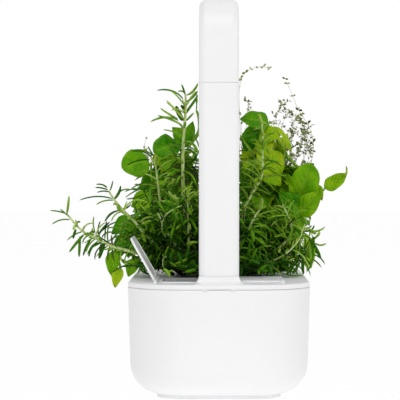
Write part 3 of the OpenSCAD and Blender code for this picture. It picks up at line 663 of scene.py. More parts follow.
@dataclass(frozen=True)
class LeafSkin:
    """Living leaf: tones from leaf to leaf, which also carry painted shade and light within the bush, veins
    on a UV map, a waxy skin and light that passes through.

    `rib_share` is the midrib's half width as a share of the leaf's, and `vein_turn` the angle in radians that
    the side veins' sine runs through along the leaf.
    """

    name: str
    tones: tuple[tuple[float, str], ...]
    under: str
    veins: float
    vein_colour: str
    roughness: float
    under_share: float = 0.6
    specular: float = 0.35
    pucker_mm: float = 0.0
    rib_share: float = 0.07
    vein_turn: float = 36.0
    vein_lean: float = 0.7
    vein_mm: float = 0.9

    def make(self) -> bpy.types.Material:
        """Makes the material: the tint picks the tone, noise mottles it and the UV map draws the veins.

        Side veins are a sine of the length less a share of the distance from the midrib, so they lean to the
        tip.

        Returns:
            The finished material.
        """
        r = Recipe(self.name, IOR=1.42, Subsurface_Weight=0.25, Subsurface_Radius=(0.6, 1.0, 0.15),
                   Subsurface_Scale=0.0012, Specular_IOR_Level=self.specular)
        t = r.tree
        tint = add(t, "ShaderNodeAttribute", {"attribute_name": "tint"}).outputs["Fac"]
        under = add(t, "ShaderNodeAttribute", {"attribute_name": "under"}).outputs["Fac"]
        mottle = r.span(r.noise(7, detail=4), -0.11, 0.11)
        tone = add(t, "ShaderNodeMath", {"operation": "ADD"}, in0=tint, in1=mottle).outputs[0]
        colour = ramp(t, tone, self.tones)
        split = add(t, "ShaderNodeSeparateXYZ", in0=add(t, "ShaderNodeUVMap", {"uv_map": "leaf"}).outputs[0])
        off = add(t, "ShaderNodeMath", {"operation": "SUBTRACT"}, in0=split.outputs[1], in1=0.5).outputs[0]
        off = add(t, "ShaderNodeMath", {"operation": "ABSOLUTE"}, in0=off).outputs[0]
        rib = r.span(off, 1.0, 0.0, 0.0, self.rib_share)
        lean = add(t, "ShaderNodeMath", {"operation": "MULTIPLY_ADD"}, in0=off, in1=-self.vein_lean,
                   in2=split.outputs[0]).outputs[0]
        wave = add(t, "ShaderNodeMath", {"operation": "MULTIPLY"}, in0=lean, in1=self.vein_turn).outputs[0]
        wave = add(t, "ShaderNodeMath", {"operation": "SINE"}, in0=wave).outputs[0]
        side = r.span(wave, 0.0, 0.7, 0.72, 1.0)
        vein = add(t, "ShaderNodeMath", {"operation": "MAXIMUM"}, in0=rib, in1=side).outputs[0]
        shown = add(t, "ShaderNodeMath", {"operation": "MULTIPLY"}, in0=vein, in1=self.veins).outputs[0]
        colour = add(t, "ShaderNodeMix", {"data_type": "RGBA"}, in0=shown, in6=colour,
                     in7=linear(self.vein_colour)).outputs[2]
        pale = add(t, "ShaderNodeMath", {"operation": "MULTIPLY"}, in0=under, in1=self.under_share).outputs[0]
        colour = add(t, "ShaderNodeMix", {"data_type": "RGBA"}, in0=pale, in6=colour,
                     in7=linear(self.under)).outputs[2]
        r.use("Base Color", colour)
        r.use("Roughness", r.span(r.noise(2, detail=3), self.roughness * 0.85, self.roughness * 1.15))
        swell = add(t, "ShaderNodeMath", {"operation": "SUBTRACT"}, in0=1.0, in1=vein).outputs[0]
        raised = r.bump(swell, self.vein_mm * self.veins)
        if self.pucker_mm:
            raised = r.bump(r.span(wave, 1.0, 0.0, -1.0, 1.0), self.pucker_mm, raised)
        r.bump(r.noise(0.8, detail=3), 0.05, raised)
        return r.material


@dataclass(frozen=True)
class Bark:
    """Herb stem: pale ridges on a darker skin, drawn out along the stem."""

    name: str
    colours: tuple[str, str, str]

    def make(self) -> bpy.types.Material:
        """Makes the material.

        Returns:
            The finished material.
        """
        r = Recipe(self.name, Roughness=0.6, IOR=1.42, Specular_IOR_Level=0.15)
        grain = r.noise(1.6, detail=4, stretch=(1, 1, 0.25))
        low, mid, high = self.colours
        r.use("Base Color", ramp(r.tree, grain, ((0.3, low), (0.52, mid), (0.7, high))))
        r.bump(grain, 0.15)
        return r.material


class Finish(Enum):
    """Finish of each material slot of the part, and of the pieces made here."""

    # ABS, injection-moulded and polished in the tool: clean white with a soft gloss and rounded highlights
    white_abs = Moulded("moulded_abs_white", "#FAFAFB", "#F9F9FA", roughness=0.37, ior=1.53, grain_mm=1.5,
                        depth_mm=0.0)
    # Thermoplastic rubber, moulded: matt and slightly translucent; set near white, lighter than its pale
    # grey, as painted light on the foot ring in the tank's shade
    grey_tpe = Moulded("moulded_tpe_grey", "#FBFBFC", "#F8F8F9", roughness=0.62, ior=1.5, grain_mm=0.8,
                       depth_mm=0.01)
    # Glass-filled nylon, moulded: near-black with a fine matt grain
    black_plastic = Moulded("moulded_nylon_black", "#232427", "#1B1C1F", roughness=0.5, ior=1.53,
                            grain_mm=0.4, depth_mm=0.012)
    # Zinc-plated steel: bright grey with a faint blue cast and turned lines
    screw_steel = Metal("zinc_plated_steel", "#D3D7DC", "#AEB4BB", roughness=0.3)
    # Brass, drawn and tinned thin: warm yellow
    contact_brass = Metal("drawn_brass", "#E3BE67", "#C79A45", roughness=0.28, lines=(1, 1, 0.1),
                          line_mm=0.4)
    # Polycarbonate, clear moulded: sharp reflections, slight cool tone at the edges
    clear_plastic = Clear("moulded_polycarbonate_clear", "#F4F8F8", roughness=0.05, transmission=0.95)
    # Expanded polystyrene float: white cells
    float_foam = Fibre("expanded_foam_white", ("#E4E2DA", "#F0EEE8", "#FAF9F5"), strand_mm=1.6,
                       depth_mm=0.12)
    # Acetal, moulded: signal red, waxy
    float_red = Moulded("moulded_acetal_red", "#C8281E", "#B81F18", roughness=0.35)
    # PVC wire insulation: red, slightly shiny
    wire_red = Moulded("extruded_pvc_red", "#B7312A", "#A62A24", roughness=0.4, ior=1.53, grain_mm=0.3,
                       depth_mm=0.01)
    # Epoxy laminate under green lacquer: deep green with a satin sheen
    board_green = Moulded("lacquered_laminate_green", "#1F6B3A", "#185C30", roughness=0.32, ior=1.5,
                          grain_mm=1.2, depth_mm=0.02)
    # Epoxy laminate under white lacquer: warm white, reflects the LEDs' light
    board_white = Moulded("lacquered_laminate_white", "#EFEEE8", "#E9E8E1", roughness=0.4, ior=1.5,
                          grain_mm=1.2, depth_mm=0.01)
    # Aluminium, extruded and left bare: long draw lines
    spreader_aluminium = Metal("extruded_aluminium", "#D5D7D9", "#BFC2C5", roughness=0.34,
                               lines=(1, 0.04, 1), line_mm=0.5)
    # Silicone with phosphor over an LED die: strong yellow, slightly rough
    led_phosphor = Moulded("phosphor_silicone_yellow", "#F0D24A", "#E6C233", roughness=0.45, ior=1.41,
                           grain_mm=0.5, depth_mm=0.02)
    # Acrylic, milky sheet: white, light glows through it
    opal_diffuser = Clear("opal_acrylic_sheet", "#F2F3F4", roughness=0.45, transmission=0.3, ior=1.49)
    # Polypropylene, moulded: dark grey-green, satin
    pod_plastic = Moulded("moulded_polypropylene_dark", "#2E3330", "#272B29", roughness=0.45, ior=1.49,
                          grain_mm=0.6, depth_mm=0.01)
    # Coir and peat, pressed: brown strands and crumbs
    growing_medium = Fibre("pressed_coir_peat", ("#2A1B12", "#4A3323", "#7A5B3E"), strand_mm=1.6,
                           depth_mm=0.8)
    # Polyester felt: off-white, short fibres along the wick
    wick_felt = Fibre("needled_polyester_felt", ("#CFCBBE", "#DEDACE", "#ECE9E0"), strand_mm=0.7,
                      depth_mm=0.15, stretch=(1, 1, 0.3))
    # Rosemary leaf: narrow, leathery, dark and shiny above, felted and pale below; its near-black lowest tone
    # is painted shade deep in the bush
    rosemary_leaf = LeafSkin(
        "rosemary_leaf_skin",
        ((0.0, "#011000"), (0.2, "#0E4400"), (0.4, "#2F7400"), (0.6, "#64A012"), (0.8, "#96C436"),
         (1.0, "#C6E470")),
        under="#A8CA54", veins=0.3, vein_colour="#AECA58", roughness=0.5, under_share=0.45, specular=0.06)
    # Basil leaf: broad, soft and puckered, glossy bright green
    basil_leaf = LeafSkin(
        "basil_leaf_skin",
        ((0.0, "#0E4E00"), (0.2, "#388400"), (0.4, "#6AA604"), (0.6, "#92BE0C"), (0.8, "#B0CC20"),
         (1.0, "#C6D84A")),
        under="#88AC2C", veins=0.4, vein_colour="#96BC36", roughness=0.4, under_share=0.4, specular=0.08,
        pucker_mm=0.18)
    # Thyme leaf: tiny, grey-green with a dusty underside
    thyme_leaf = LeafSkin(
        "thyme_leaf_skin",
        ((0.0, "#3C4034"), (0.25, "#586624"), (0.5, "#96A83C"), (0.75, "#B8C478"), (1.0, "#D4DCA8")),
        under="#BCC49A", veins=0.25, vein_colour="#C4CE98", roughness=0.55, under_share=0.5, specular=0.08)
    # Rosemary stem: young and tough, pale green with still paler ridges
    rosemary_stem = Bark("rosemary_stem_bark", ("#9CB456", "#C8DA88", "#E8F0C0"))
    # Basil stem: smooth and green
    basil_stem = Bark("basil_stem_skin", ("#4A7A10", "#74A224", "#9CC24C"))
    # Thyme stem: thin and woody, pale straw
    thyme_stem = Bark("thyme_stem_bark", ("#B4B08C", "#CECEAA", "#E0E2C6"))

    @property
    def slot(self) -> str:
        """Material slot of the record that the finish belongs to."""
        return self.name.replace("_stem", "_leaf")

    def material(self) -> bpy.types.Material:
        """The finish's material, made once."""
        found = bpy.data.materials.get(self.value.name)
        return found if found is not None else self.value.make()


def dress(piece: bpy.types.Object, finish: Finish) -> None:
    """Gives a piece one finish in place of what it has.

    Args:
        piece: Piece or CAD node.
        finish: Finish to give.
    """
    if piece.material_slots:
        for slot in piece.material_slots:
            slot.material = finish.material()
    else:
        piece.data.materials.append(finish.material())


# ---- moulded shells ----

@dataclass
class Shell:
    """Smooth skin of one moulded part: its own form, with whole flats and rounds shaded as rounds.

    Corners closer than `merge_mm` become one, and faces that lie within `flat_deg` of each other are joined.
    Edges sharper than `crease_deg` stay sharp. Above 50, `area_weight` lets large faces lead the shading.
    """

    node: str
    body: str
    finish: Finish = Finish.white_abs
    crease_deg: float = 32.0
    flat_deg: float = 0.4
    merge_mm: float = 0.004
    area_weight: int = 80

    def build(self) -> bpy.types.Object:
        """Copies the part's form, merges its corners, joins its flat faces and shades it by area.

        Returns:
            The piece that stands for the part.
        """
        work = bmesh.new()
        work.from_mesh(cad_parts[self.node].data)
        bmesh.ops.remove_doubles(work, verts=work.verts, dist=self.merge_mm * MM)
        flat = math.radians(self.flat_deg)
        bmesh.ops.dissolve_limit(work, angle_limit=flat, verts=work.verts, edges=work.edges)
        data = bpy.data.meshes.new(self.node + "_skin")
        work.to_mesh(data)
        work.free()
        data.polygons.foreach_set("use_smooth", np.ones(len(data.polygons), bool))
        data.set_sharp_from_angle(angle=math.radians(self.crease_deg))
        piece = linked(self.node + "_skin", data)
        even = piece.modifiers.new("even", "WEIGHTED_NORMAL")
        even.keep_sharp, even.weight = True, self.area_weight
        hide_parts(self.node)
        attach(piece, self.body)
        dress(piece, self.finish)
        return piece


@dataclass
class Housing:
    """White mouldings: tank, lid, flaps, post and lamp head."""

    shells: tuple[Shell, ...] = (
        Shell("water_tank", "tank"),
        Shell("lid", "lid"),
        Shell("arm_foot", "lid"),
        Shell("fill_flap", "fill_flap"),
        Shell("gauge_flap", "gauge_flap"),
        Shell("extension_arm", "arm"),
        Shell("lamp_shell", "lamp"),
        Shell("lamp_cover", "lamp"),
    )

    def build(self) -> list[bpy.types.Object]:
        """Builds every shell.

        Returns:
            The pieces.
        """
        return [shell.build() for shell in self.shells]


@dataclass
class Fittings:
    """Carried-over parts whose form is right as it is: they get the finish of their slot."""

    def build(self) -> list[bpy.types.Object]:
        """Dresses each part by the name of its material slot.

        Returns:
            The parts dressed.
        """
        dressed = []
        for name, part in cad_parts.items():
            names = [s.material.name.split(".")[0] for s in part.material_slots if s.material]
            known = [n for n in names if n in Finish.__members__]
            if known:
                dress(part, Finish[known[0]])
                dressed.append(part)
            else:
                LOG.warning("%s keeps its own finish: %s", name, names)
        return dressed


# ---- herbs ----

@dataclass(frozen=True)
class Zone:
    """Box in mm that leaves stay out of."""

    low: Point
    high: Point

    def holds(self, points: Array) -> NDArray[np.bool_]:
        """Which leaves have a point in the box.

        Args:
            points: Points of shape (leaves, n, 3).

        Returns:
            True for each leaf that enters the box.
        """
        inside = np.all((points > np.array(self.low)) & (points < np.array(self.high)), axis=2)
        return inside.any(axis=1)


CLEAR_ZONES = (
    # The lamp's post
    Zone((-14.6, -160, 60), (14.6, -131, 400)),
    # The lamp's head, and the space below it that a plant needs when its pod is lifted
    Zone((-14.2, -160, 175), (14.2, 160, 400)),
    # The two flaps, shut
    Zone((-62.5, -133, 0), (-8, -81, 81)),
    Zone((8, -133, 0), (62.5, -81, 81)),
    # The two flaps, open
    Zone((-63.5, -133, 0), (-41, -81, 116)),
    Zone((41, -133, 0), (63.5, -81, 116)),
    # The lid and what is below it
    Zone((-66, -155, 0), (66, 155, 78.8)),
)


@dataclass
class Herb:
    """What the three herbs share: node and body, finishes, how far they reach along the garden, and a seed.

    A leaf stays between `near` and `far` in y, in mm, and within `margin` mm of the part's box.
    """

    node: str
    body: str
    leaf: Finish
    stem: Finish
    near: float
    far: float
    seed: int
    margin: float = field(default=2.0, kw_only=True)

    def trimmed(self, blades: Blades) -> Blades:
        """Drops leaves that reach past the herb's own strip, into the post, the lamp's path or the lid.

        Args:
            blades: Leaves to sort.

        Returns:
            The leaves that stay clear.
        """
        rings, first, last = blades.points()
        points = np.concatenate([rings.reshape(len(rings), -1, 3), first[:, None], last[:, None]], axis=1)
        bad = (points[..., 1] < self.near).any(1) | (points[..., 1] > self.far).any(1)
        for zone in CLEAR_ZONES:
            bad |= zone.holds(points)
        low, high = (np.array(c) / MM for c in CAD_BOX)
        bad |= (points < low - self.margin).any((1, 2)) | (points > high + self.margin).any((1, 2))
        return blades.kept(~bad)

    def finish(self, leaves: Surface, stems: Surface) -> list[bpy.types.Object]:
        """Makes the herb's two pieces, dresses them and sets them on its body.

        Args:
            leaves: All the leaves.
            stems: All the stems.

        Returns:
            The two pieces.
        """
        made = []
        for surface, part, finish in ((leaves, "leaves", self.leaf), (stems, "stems", self.stem)):
            piece = surface.mesh(f"{self.node}_{part}")
            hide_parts(self.node)
            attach(piece, self.body)
            dress(piece, finish)
            made.append(piece)
        return made


@dataclass(frozen=True)
class Sprig:
    """One sprig: points of its stem in mm, the shares where its needles start and end, and how they look.

    `size` and `wide` are a needle's length and width and `stem` the stem's radius, in mm. A pair follows each
    `step` points of the stem. The tone goes from `dark` at the foot to `bright` at the tip: the dark foot is
    painted shade inside the bush, and the bright tip is partly paler young growth and partly painted light.
    The low tones of the filling sprigs are painted shade within the bush as well. `stations` are the rings
    along a needle. A `young` sprig stands out by itself, and the others fill the bush.
    """

    points: tuple[Point, ...]
    start: float = 0.2
    end: float = 1.0
    size: float = 18.0
    step: int = 4
    dark: float = 0.35
    bright: float = 0.9
    wide: float = 2.9
    stations: int = 6
    stem: float = 1.6
    young: bool = True


@dataclass
class Rosemary(Herb):
    """Rosemary: upright and arching sprigs with pairs of narrow leaves, each pair turned from the last.

    The first `main` of the sprigs stand out in front of the bush. `low`, `high`, `front` and `over` count the
    sprigs that fill it: low and upright ones, those at the lid's edge and those over the service openings.
    Every sprig that stands out has `branches` side shoots. All sizes are in mm.
    """

    sprigs: tuple[Sprig, ...] = ()
    placed: tuple[Leaf, ...] = ()
    side: tuple[Leaf, ...] = ()
    main: int = 7
    low: int = 64
    high: int = 56
    front: int = 34
    over: int = 16
    branches: int = 5
    root_y: float = -42
    root_z: float = 80.5
    reach_left: float = 71
    reach_right: float = 54
    reach_deep: float = 34
    path_step: float = 1.3
    parting: float = 2.4

    def skirt(self) -> list[Sprig]:
        """Low sprigs that lean out over the lid all round, further to the left than to the right.

        Sprig k of n stands at the share sqrt((k + 0.5) / n) of the reach and is turned by k golden turns, so
        they are spread evenly. The outer ones are brighter: painted light on the bush's outside, painted
        shade inside.

        Returns:
            The sprigs.
        """
        rng = np.random.default_rng(self.seed)
        turn = np.arange(self.low) * GOLDEN_TURN
        share = np.sqrt((np.arange(self.low) + 0.5) / self.low)
        x = np.where(np.cos(turn) < 0, self.reach_left, self.reach_right) * np.cos(turn) * share
        y = -44 + self.reach_deep * np.sin(turn) * share
        z = 82 + rng.uniform(0, 26, self.low)
        shift, drift = rng.uniform(-5, 5, self.low), rng.uniform(-9, 9, self.low)
        made = []
        for a, q, h, b, c, e in zip(x, y, z, shift, drift, share):
            foot = (0.12 * a + b, self.root_y + c, self.root_z)
            knee = (0.55 * a, (q + self.root_y) / 2 - 0.5, 84 + 0.5 * (h - 84))
            # Tone grows with the share of the reach: painted light outside, painted shade further in
            made.append(Sprig((foot, knee, (a, q, h)), 0.12, size=23, step=3, dark=-0.2,
                              bright=0.05 + 0.45 * e, wide=2.3, stations=4, stem=0.9, young=False))
        return made

    def dome(self) -> list[Sprig]:
        """Upright sprigs that fill the bush under a rounded top that falls off to the right.

        At the left the top is 34 sqrt(1 - (x / 84)^2) above 104 mm. At the right it is 28 above 97 mm up to
        x = 16, and from there it falls by 0.68 for each mm. Each third sprig is bright.

        Returns:
            The sprigs.
        """
        rng = np.random.default_rng(self.seed + 5)
        x = -62 + 130 * ((np.arange(self.high) * GOLDEN_SHARE) % 1)
        y = -50 + 30 * np.sin(np.arange(self.high) * GOLDEN_TURN)
        peak = np.where(x < 0, 34 * np.sqrt(1 - (x / 84) ** 2), 28 - 0.68 * np.maximum(0, x - 16))
        z = np.where(x < 0, 104, 97) + rng.uniform(0.1, 1, self.high) * peak
        shift, drift = rng.uniform(-4, 4, self.high), rng.uniform(-8, 8, self.high)
        made = []
        for k, (a, q, h, b, c) in enumerate(zip(x, y, z, shift, drift)):
            foot = (0.1 * a + b, self.root_y + c, self.root_z)
            knee = (0.62 * a, (q + self.root_y) / 2, 80 + 0.45 * (h - 80))
            made.append(Sprig((foot, knee, (a, q, h)), 0.15, size=23, step=3, dark=-0.2,
                              bright=0.42 if k % 3 else 1.0, wide=2.4, stations=4, stem=1.0, young=False))
        return made

    def shoots(self) -> list[Sprig]:
        """Side shoots of the sprigs that stand out: each leaves its sprig at about 40 degrees and bends up.

        Returns:
            The shoots.
        """
        rng = np.random.default_rng(self.seed + 3)
        made = []
        for sprig in self.sprigs:
            path = spline(sprig.points, 2.0)
            for share in rng.uniform(0.22, 0.62, self.branches):
                k = int(share * len(path))
                way = unit(path[min(k + 3, len(path) - 1)] - path[k])
                out = unit(np.cross(way, rng.normal(0, 1, 3)))
                reach = rng.uniform(14, 26)
                tip = path[k] + reach * unit(1.1 * way + out) + np.array([0, 0, 3.0])
                mid = (path[k] + tip) / 2 + 0.12 * reach * out
                made.append(Sprig((tuple(path[k]), tuple(mid), tuple(tip)), 0.1, size=17, step=2, dark=0.1,
                                  bright=0.72, wide=2.4, stations=5, stem=0.9, young=False))
        return made

    def fringe(self) -> list[Sprig]:
        """Short sprigs that lie on the lid in front of the pod and hide its edge, some over the openings.

        Their tips stand evenly from x = -62 to 54 mm, up to 34 mm in front of y = -64. Those over the two
        openings run from x = -42 to -14 and from 16 to 36 mm, up to 34 mm in front of y = -88.

        Returns:
            The sprigs.
        """
        rng = np.random.default_rng(self.seed + 9)
        x = np.r_[np.linspace(-62, 54, self.front), np.linspace(-42, -14, self.over),
                  np.linspace(16, 36, self.over // 2)]
        y = np.where(np.arange(len(x)) < self.front, -64, -88) - rng.uniform(0, 34, len(x))
        z = 85 + rng.uniform(0, 9, len(x))
        made = []
        for a, q, h in zip(x, y, z):
            knee = (0.7 * a, (q - 50) / 2, 84 + 0.3 * (h - 80))
            made.append(Sprig(((0.35 * a, -50, 81.5), knee, (a, q, h)), 0.1, size=15, step=3, dark=-0.05,
                              bright=0.42, wide=2.2, stations=4, stem=0.8, young=False))
        return made

    def needles(self, sprig: Sprig, path: Array, rng: np.random.Generator) -> Blades:
        """Pairs of needles along a sprig, each pair turned by a right angle and a little more.

        A needle leaves the stem at an angle that falls from 74 degrees low down to 18 degrees at the tip, and
        bends back by its curl. Its length is full along the sprig and drops to half at the tip. On a filling
        sprig the needles lean less to the front, so few are seen end on. About a third of a young sprig's
        needles have a short one beside them.

        Args:
            sprig: The sprig.
            path: Points of its stem.
            rng: Source of the variation.

        Returns:
            The needles.
        """
        tangent = unit(np.gradient(path, axis=0))
        rows = np.arange(int(len(path) * sprig.start), int(len(path) * sprig.end), sprig.step)
        n = len(rows)
        share = np.repeat(rows / len(path), 2)
        centre, t = np.repeat(path[rows], 2, axis=0), np.repeat(tangent[rows], 2, axis=0)
        turn = np.repeat(np.arange(n) * 1.75 + rng.uniform(-0.4, 0.4, n), 2) + np.tile([0, np.pi], n)
        turn += rng.uniform(-0.35, 0.35, 2 * n)
        out = around(t, turn)
        if not sprig.young:
            out = out * np.array([1, 0.5, 1])
            out = unit(out - t * np.sum(out * t, axis=1, keepdims=True))
        lean = np.interp(share, (0.2, 0.75, 1), (74, 55, 18)) + rng.uniform(-14, 14, 2 * n)
        along, face = leaning(t, out, lean)
        length = sprig.size * np.interp(share, (0, 0.3, 0.8, 1), (0.8, 1.0, 0.95, 0.5))
        length = length * rng.uniform(0.7, 1.2, 2 * n)
        # Tone from foot to tip: the dark foot is painted shade inside the bush, the bright tip partly young
        # growth and partly painted light
        tone = np.interp(share, (0.1, 1), (sprig.dark, sprig.bright)) + rng.uniform(-0.2, 0.2, 2 * n)
        width, curl = sprig.wide * rng.uniform(0.65, 1.15, 2 * n), rng.uniform(0.3, 1.9, 2 * n)
        grown = Blades(centre, along, face, length, width, curl, np.full(2 * n, -0.15), np.clip(tone, 0, 1),
                       Outline.NEEDLE, thickness=1.1, stations=sprig.stations)
        if not sprig.young:
            return grown
        some = rng.uniform(0, 1, 2 * n) < 0.35
        centre, t, out, tone, m = centre[some], t[some], out[some], tone[some], some.sum()
        narrow = rng.uniform(15, 50, m)
        twist = rng.uniform(-0.9, 0.9, m)[:, None]
        along, face = leaning(t, unit(np.cos(twist) * out + np.sin(twist) * np.cross(t, out)), narrow)
        return grown.with_rows(base=centre, along=along, face=face,
                               length=length[some] * rng.uniform(0.25, 0.55, m),
                               width=np.full(m, 0.6 * sprig.wide), curl=rng.uniform(-0.2, 0.9, m),
                               fold=np.full(m, -0.1), tint=np.clip(tone + 0.15, 0, 1))

    def parted(self, blades: Blades, stems: Sequence[Array], rng: np.random.Generator) -> Blades:
        """Drops most of the needles that hang close before a main stem, so that the stem shows.

        Args:
            blades: Needles of the bush's filling.
            stems: Points of each main stem.
            rng: Source of the choice.

        Returns:
            The needles that stay.
        """
        rings, first, last = blades.points()
        points = np.concatenate([rings.mean(axis=2), first[:, None], last[:, None]], axis=1)
        before = np.zeros(len(points), bool)
        for stem in stems:
            gap = np.linalg.norm(points[:, :, None, ::2] - stem[None, None, ::3, ::2], axis=-1)
            before |= ((gap < self.parting) & (points[:, :, None, 1] < stem[None, None, ::3, 1])).any((1, 2))
        return blades.kept(~before | (rng.uniform(0, 1, len(points)) < 0.2))

    def open_run(self, sprig: Sprig, path: Array) -> Array:
        """The part of a filling sprig's stem before it enters a zone that stays clear, or all of a main stem.

        Args:
            sprig: The sprig.
            path: Points of its stem.

        Returns:
            The points kept, at least six.
        """
        inside = np.any([zone.holds(path[:, None]) for zone in CLEAR_ZONES], axis=0)
        return path if sprig.young or not inside.any() else path[:max(6, int(inside.argmax()) - 1)]

    def build(self) -> list[bpy.types.Object]:
        """Builds the bush from its sprigs.

        Returns:
            The leaves and the stems.
        """
        rng = np.random.default_rng(self.seed + 1)
        parts, stems, twigs = [], [], []
        main = [spline(sprig.points, self.path_step) for sprig in self.sprigs[:self.main]]
        for sprig in [*self.sprigs, *self.shoots(), *self.skirt(), *self.fringe(), *self.dome()]:
            path = spline(sprig.points, self.path_step)
            group = stems if sprig.young else twigs
            group.append((self.open_run(sprig, path)[::3], sprig.stem, 0.4 * sprig.stem))
            grown = self.trimmed(self.needles(sprig, path, rng))
            grown = self.parted(grown, [stem for stem in main if not np.array_equal(stem, path)], rng)
            if len(grown.base):
                parts.append(grown.surface())
        parts.append(tubes(twigs, tint=0.2, sides=5))
        for rows, thickness in ((self.placed, 1.3), (self.side, 1.8)):
            placed = Blades.between(rows, Outline.NEEDLE, thickness=thickness, stations=9)
            clear = self.trimmed(placed)
            LOG.info("%d of %d placed needles stand clear", len(clear.base), len(placed.base))
            parts.append(clear.surface())
        return self.finish(Surface.joined(parts), tubes(stems, tint=0.6))


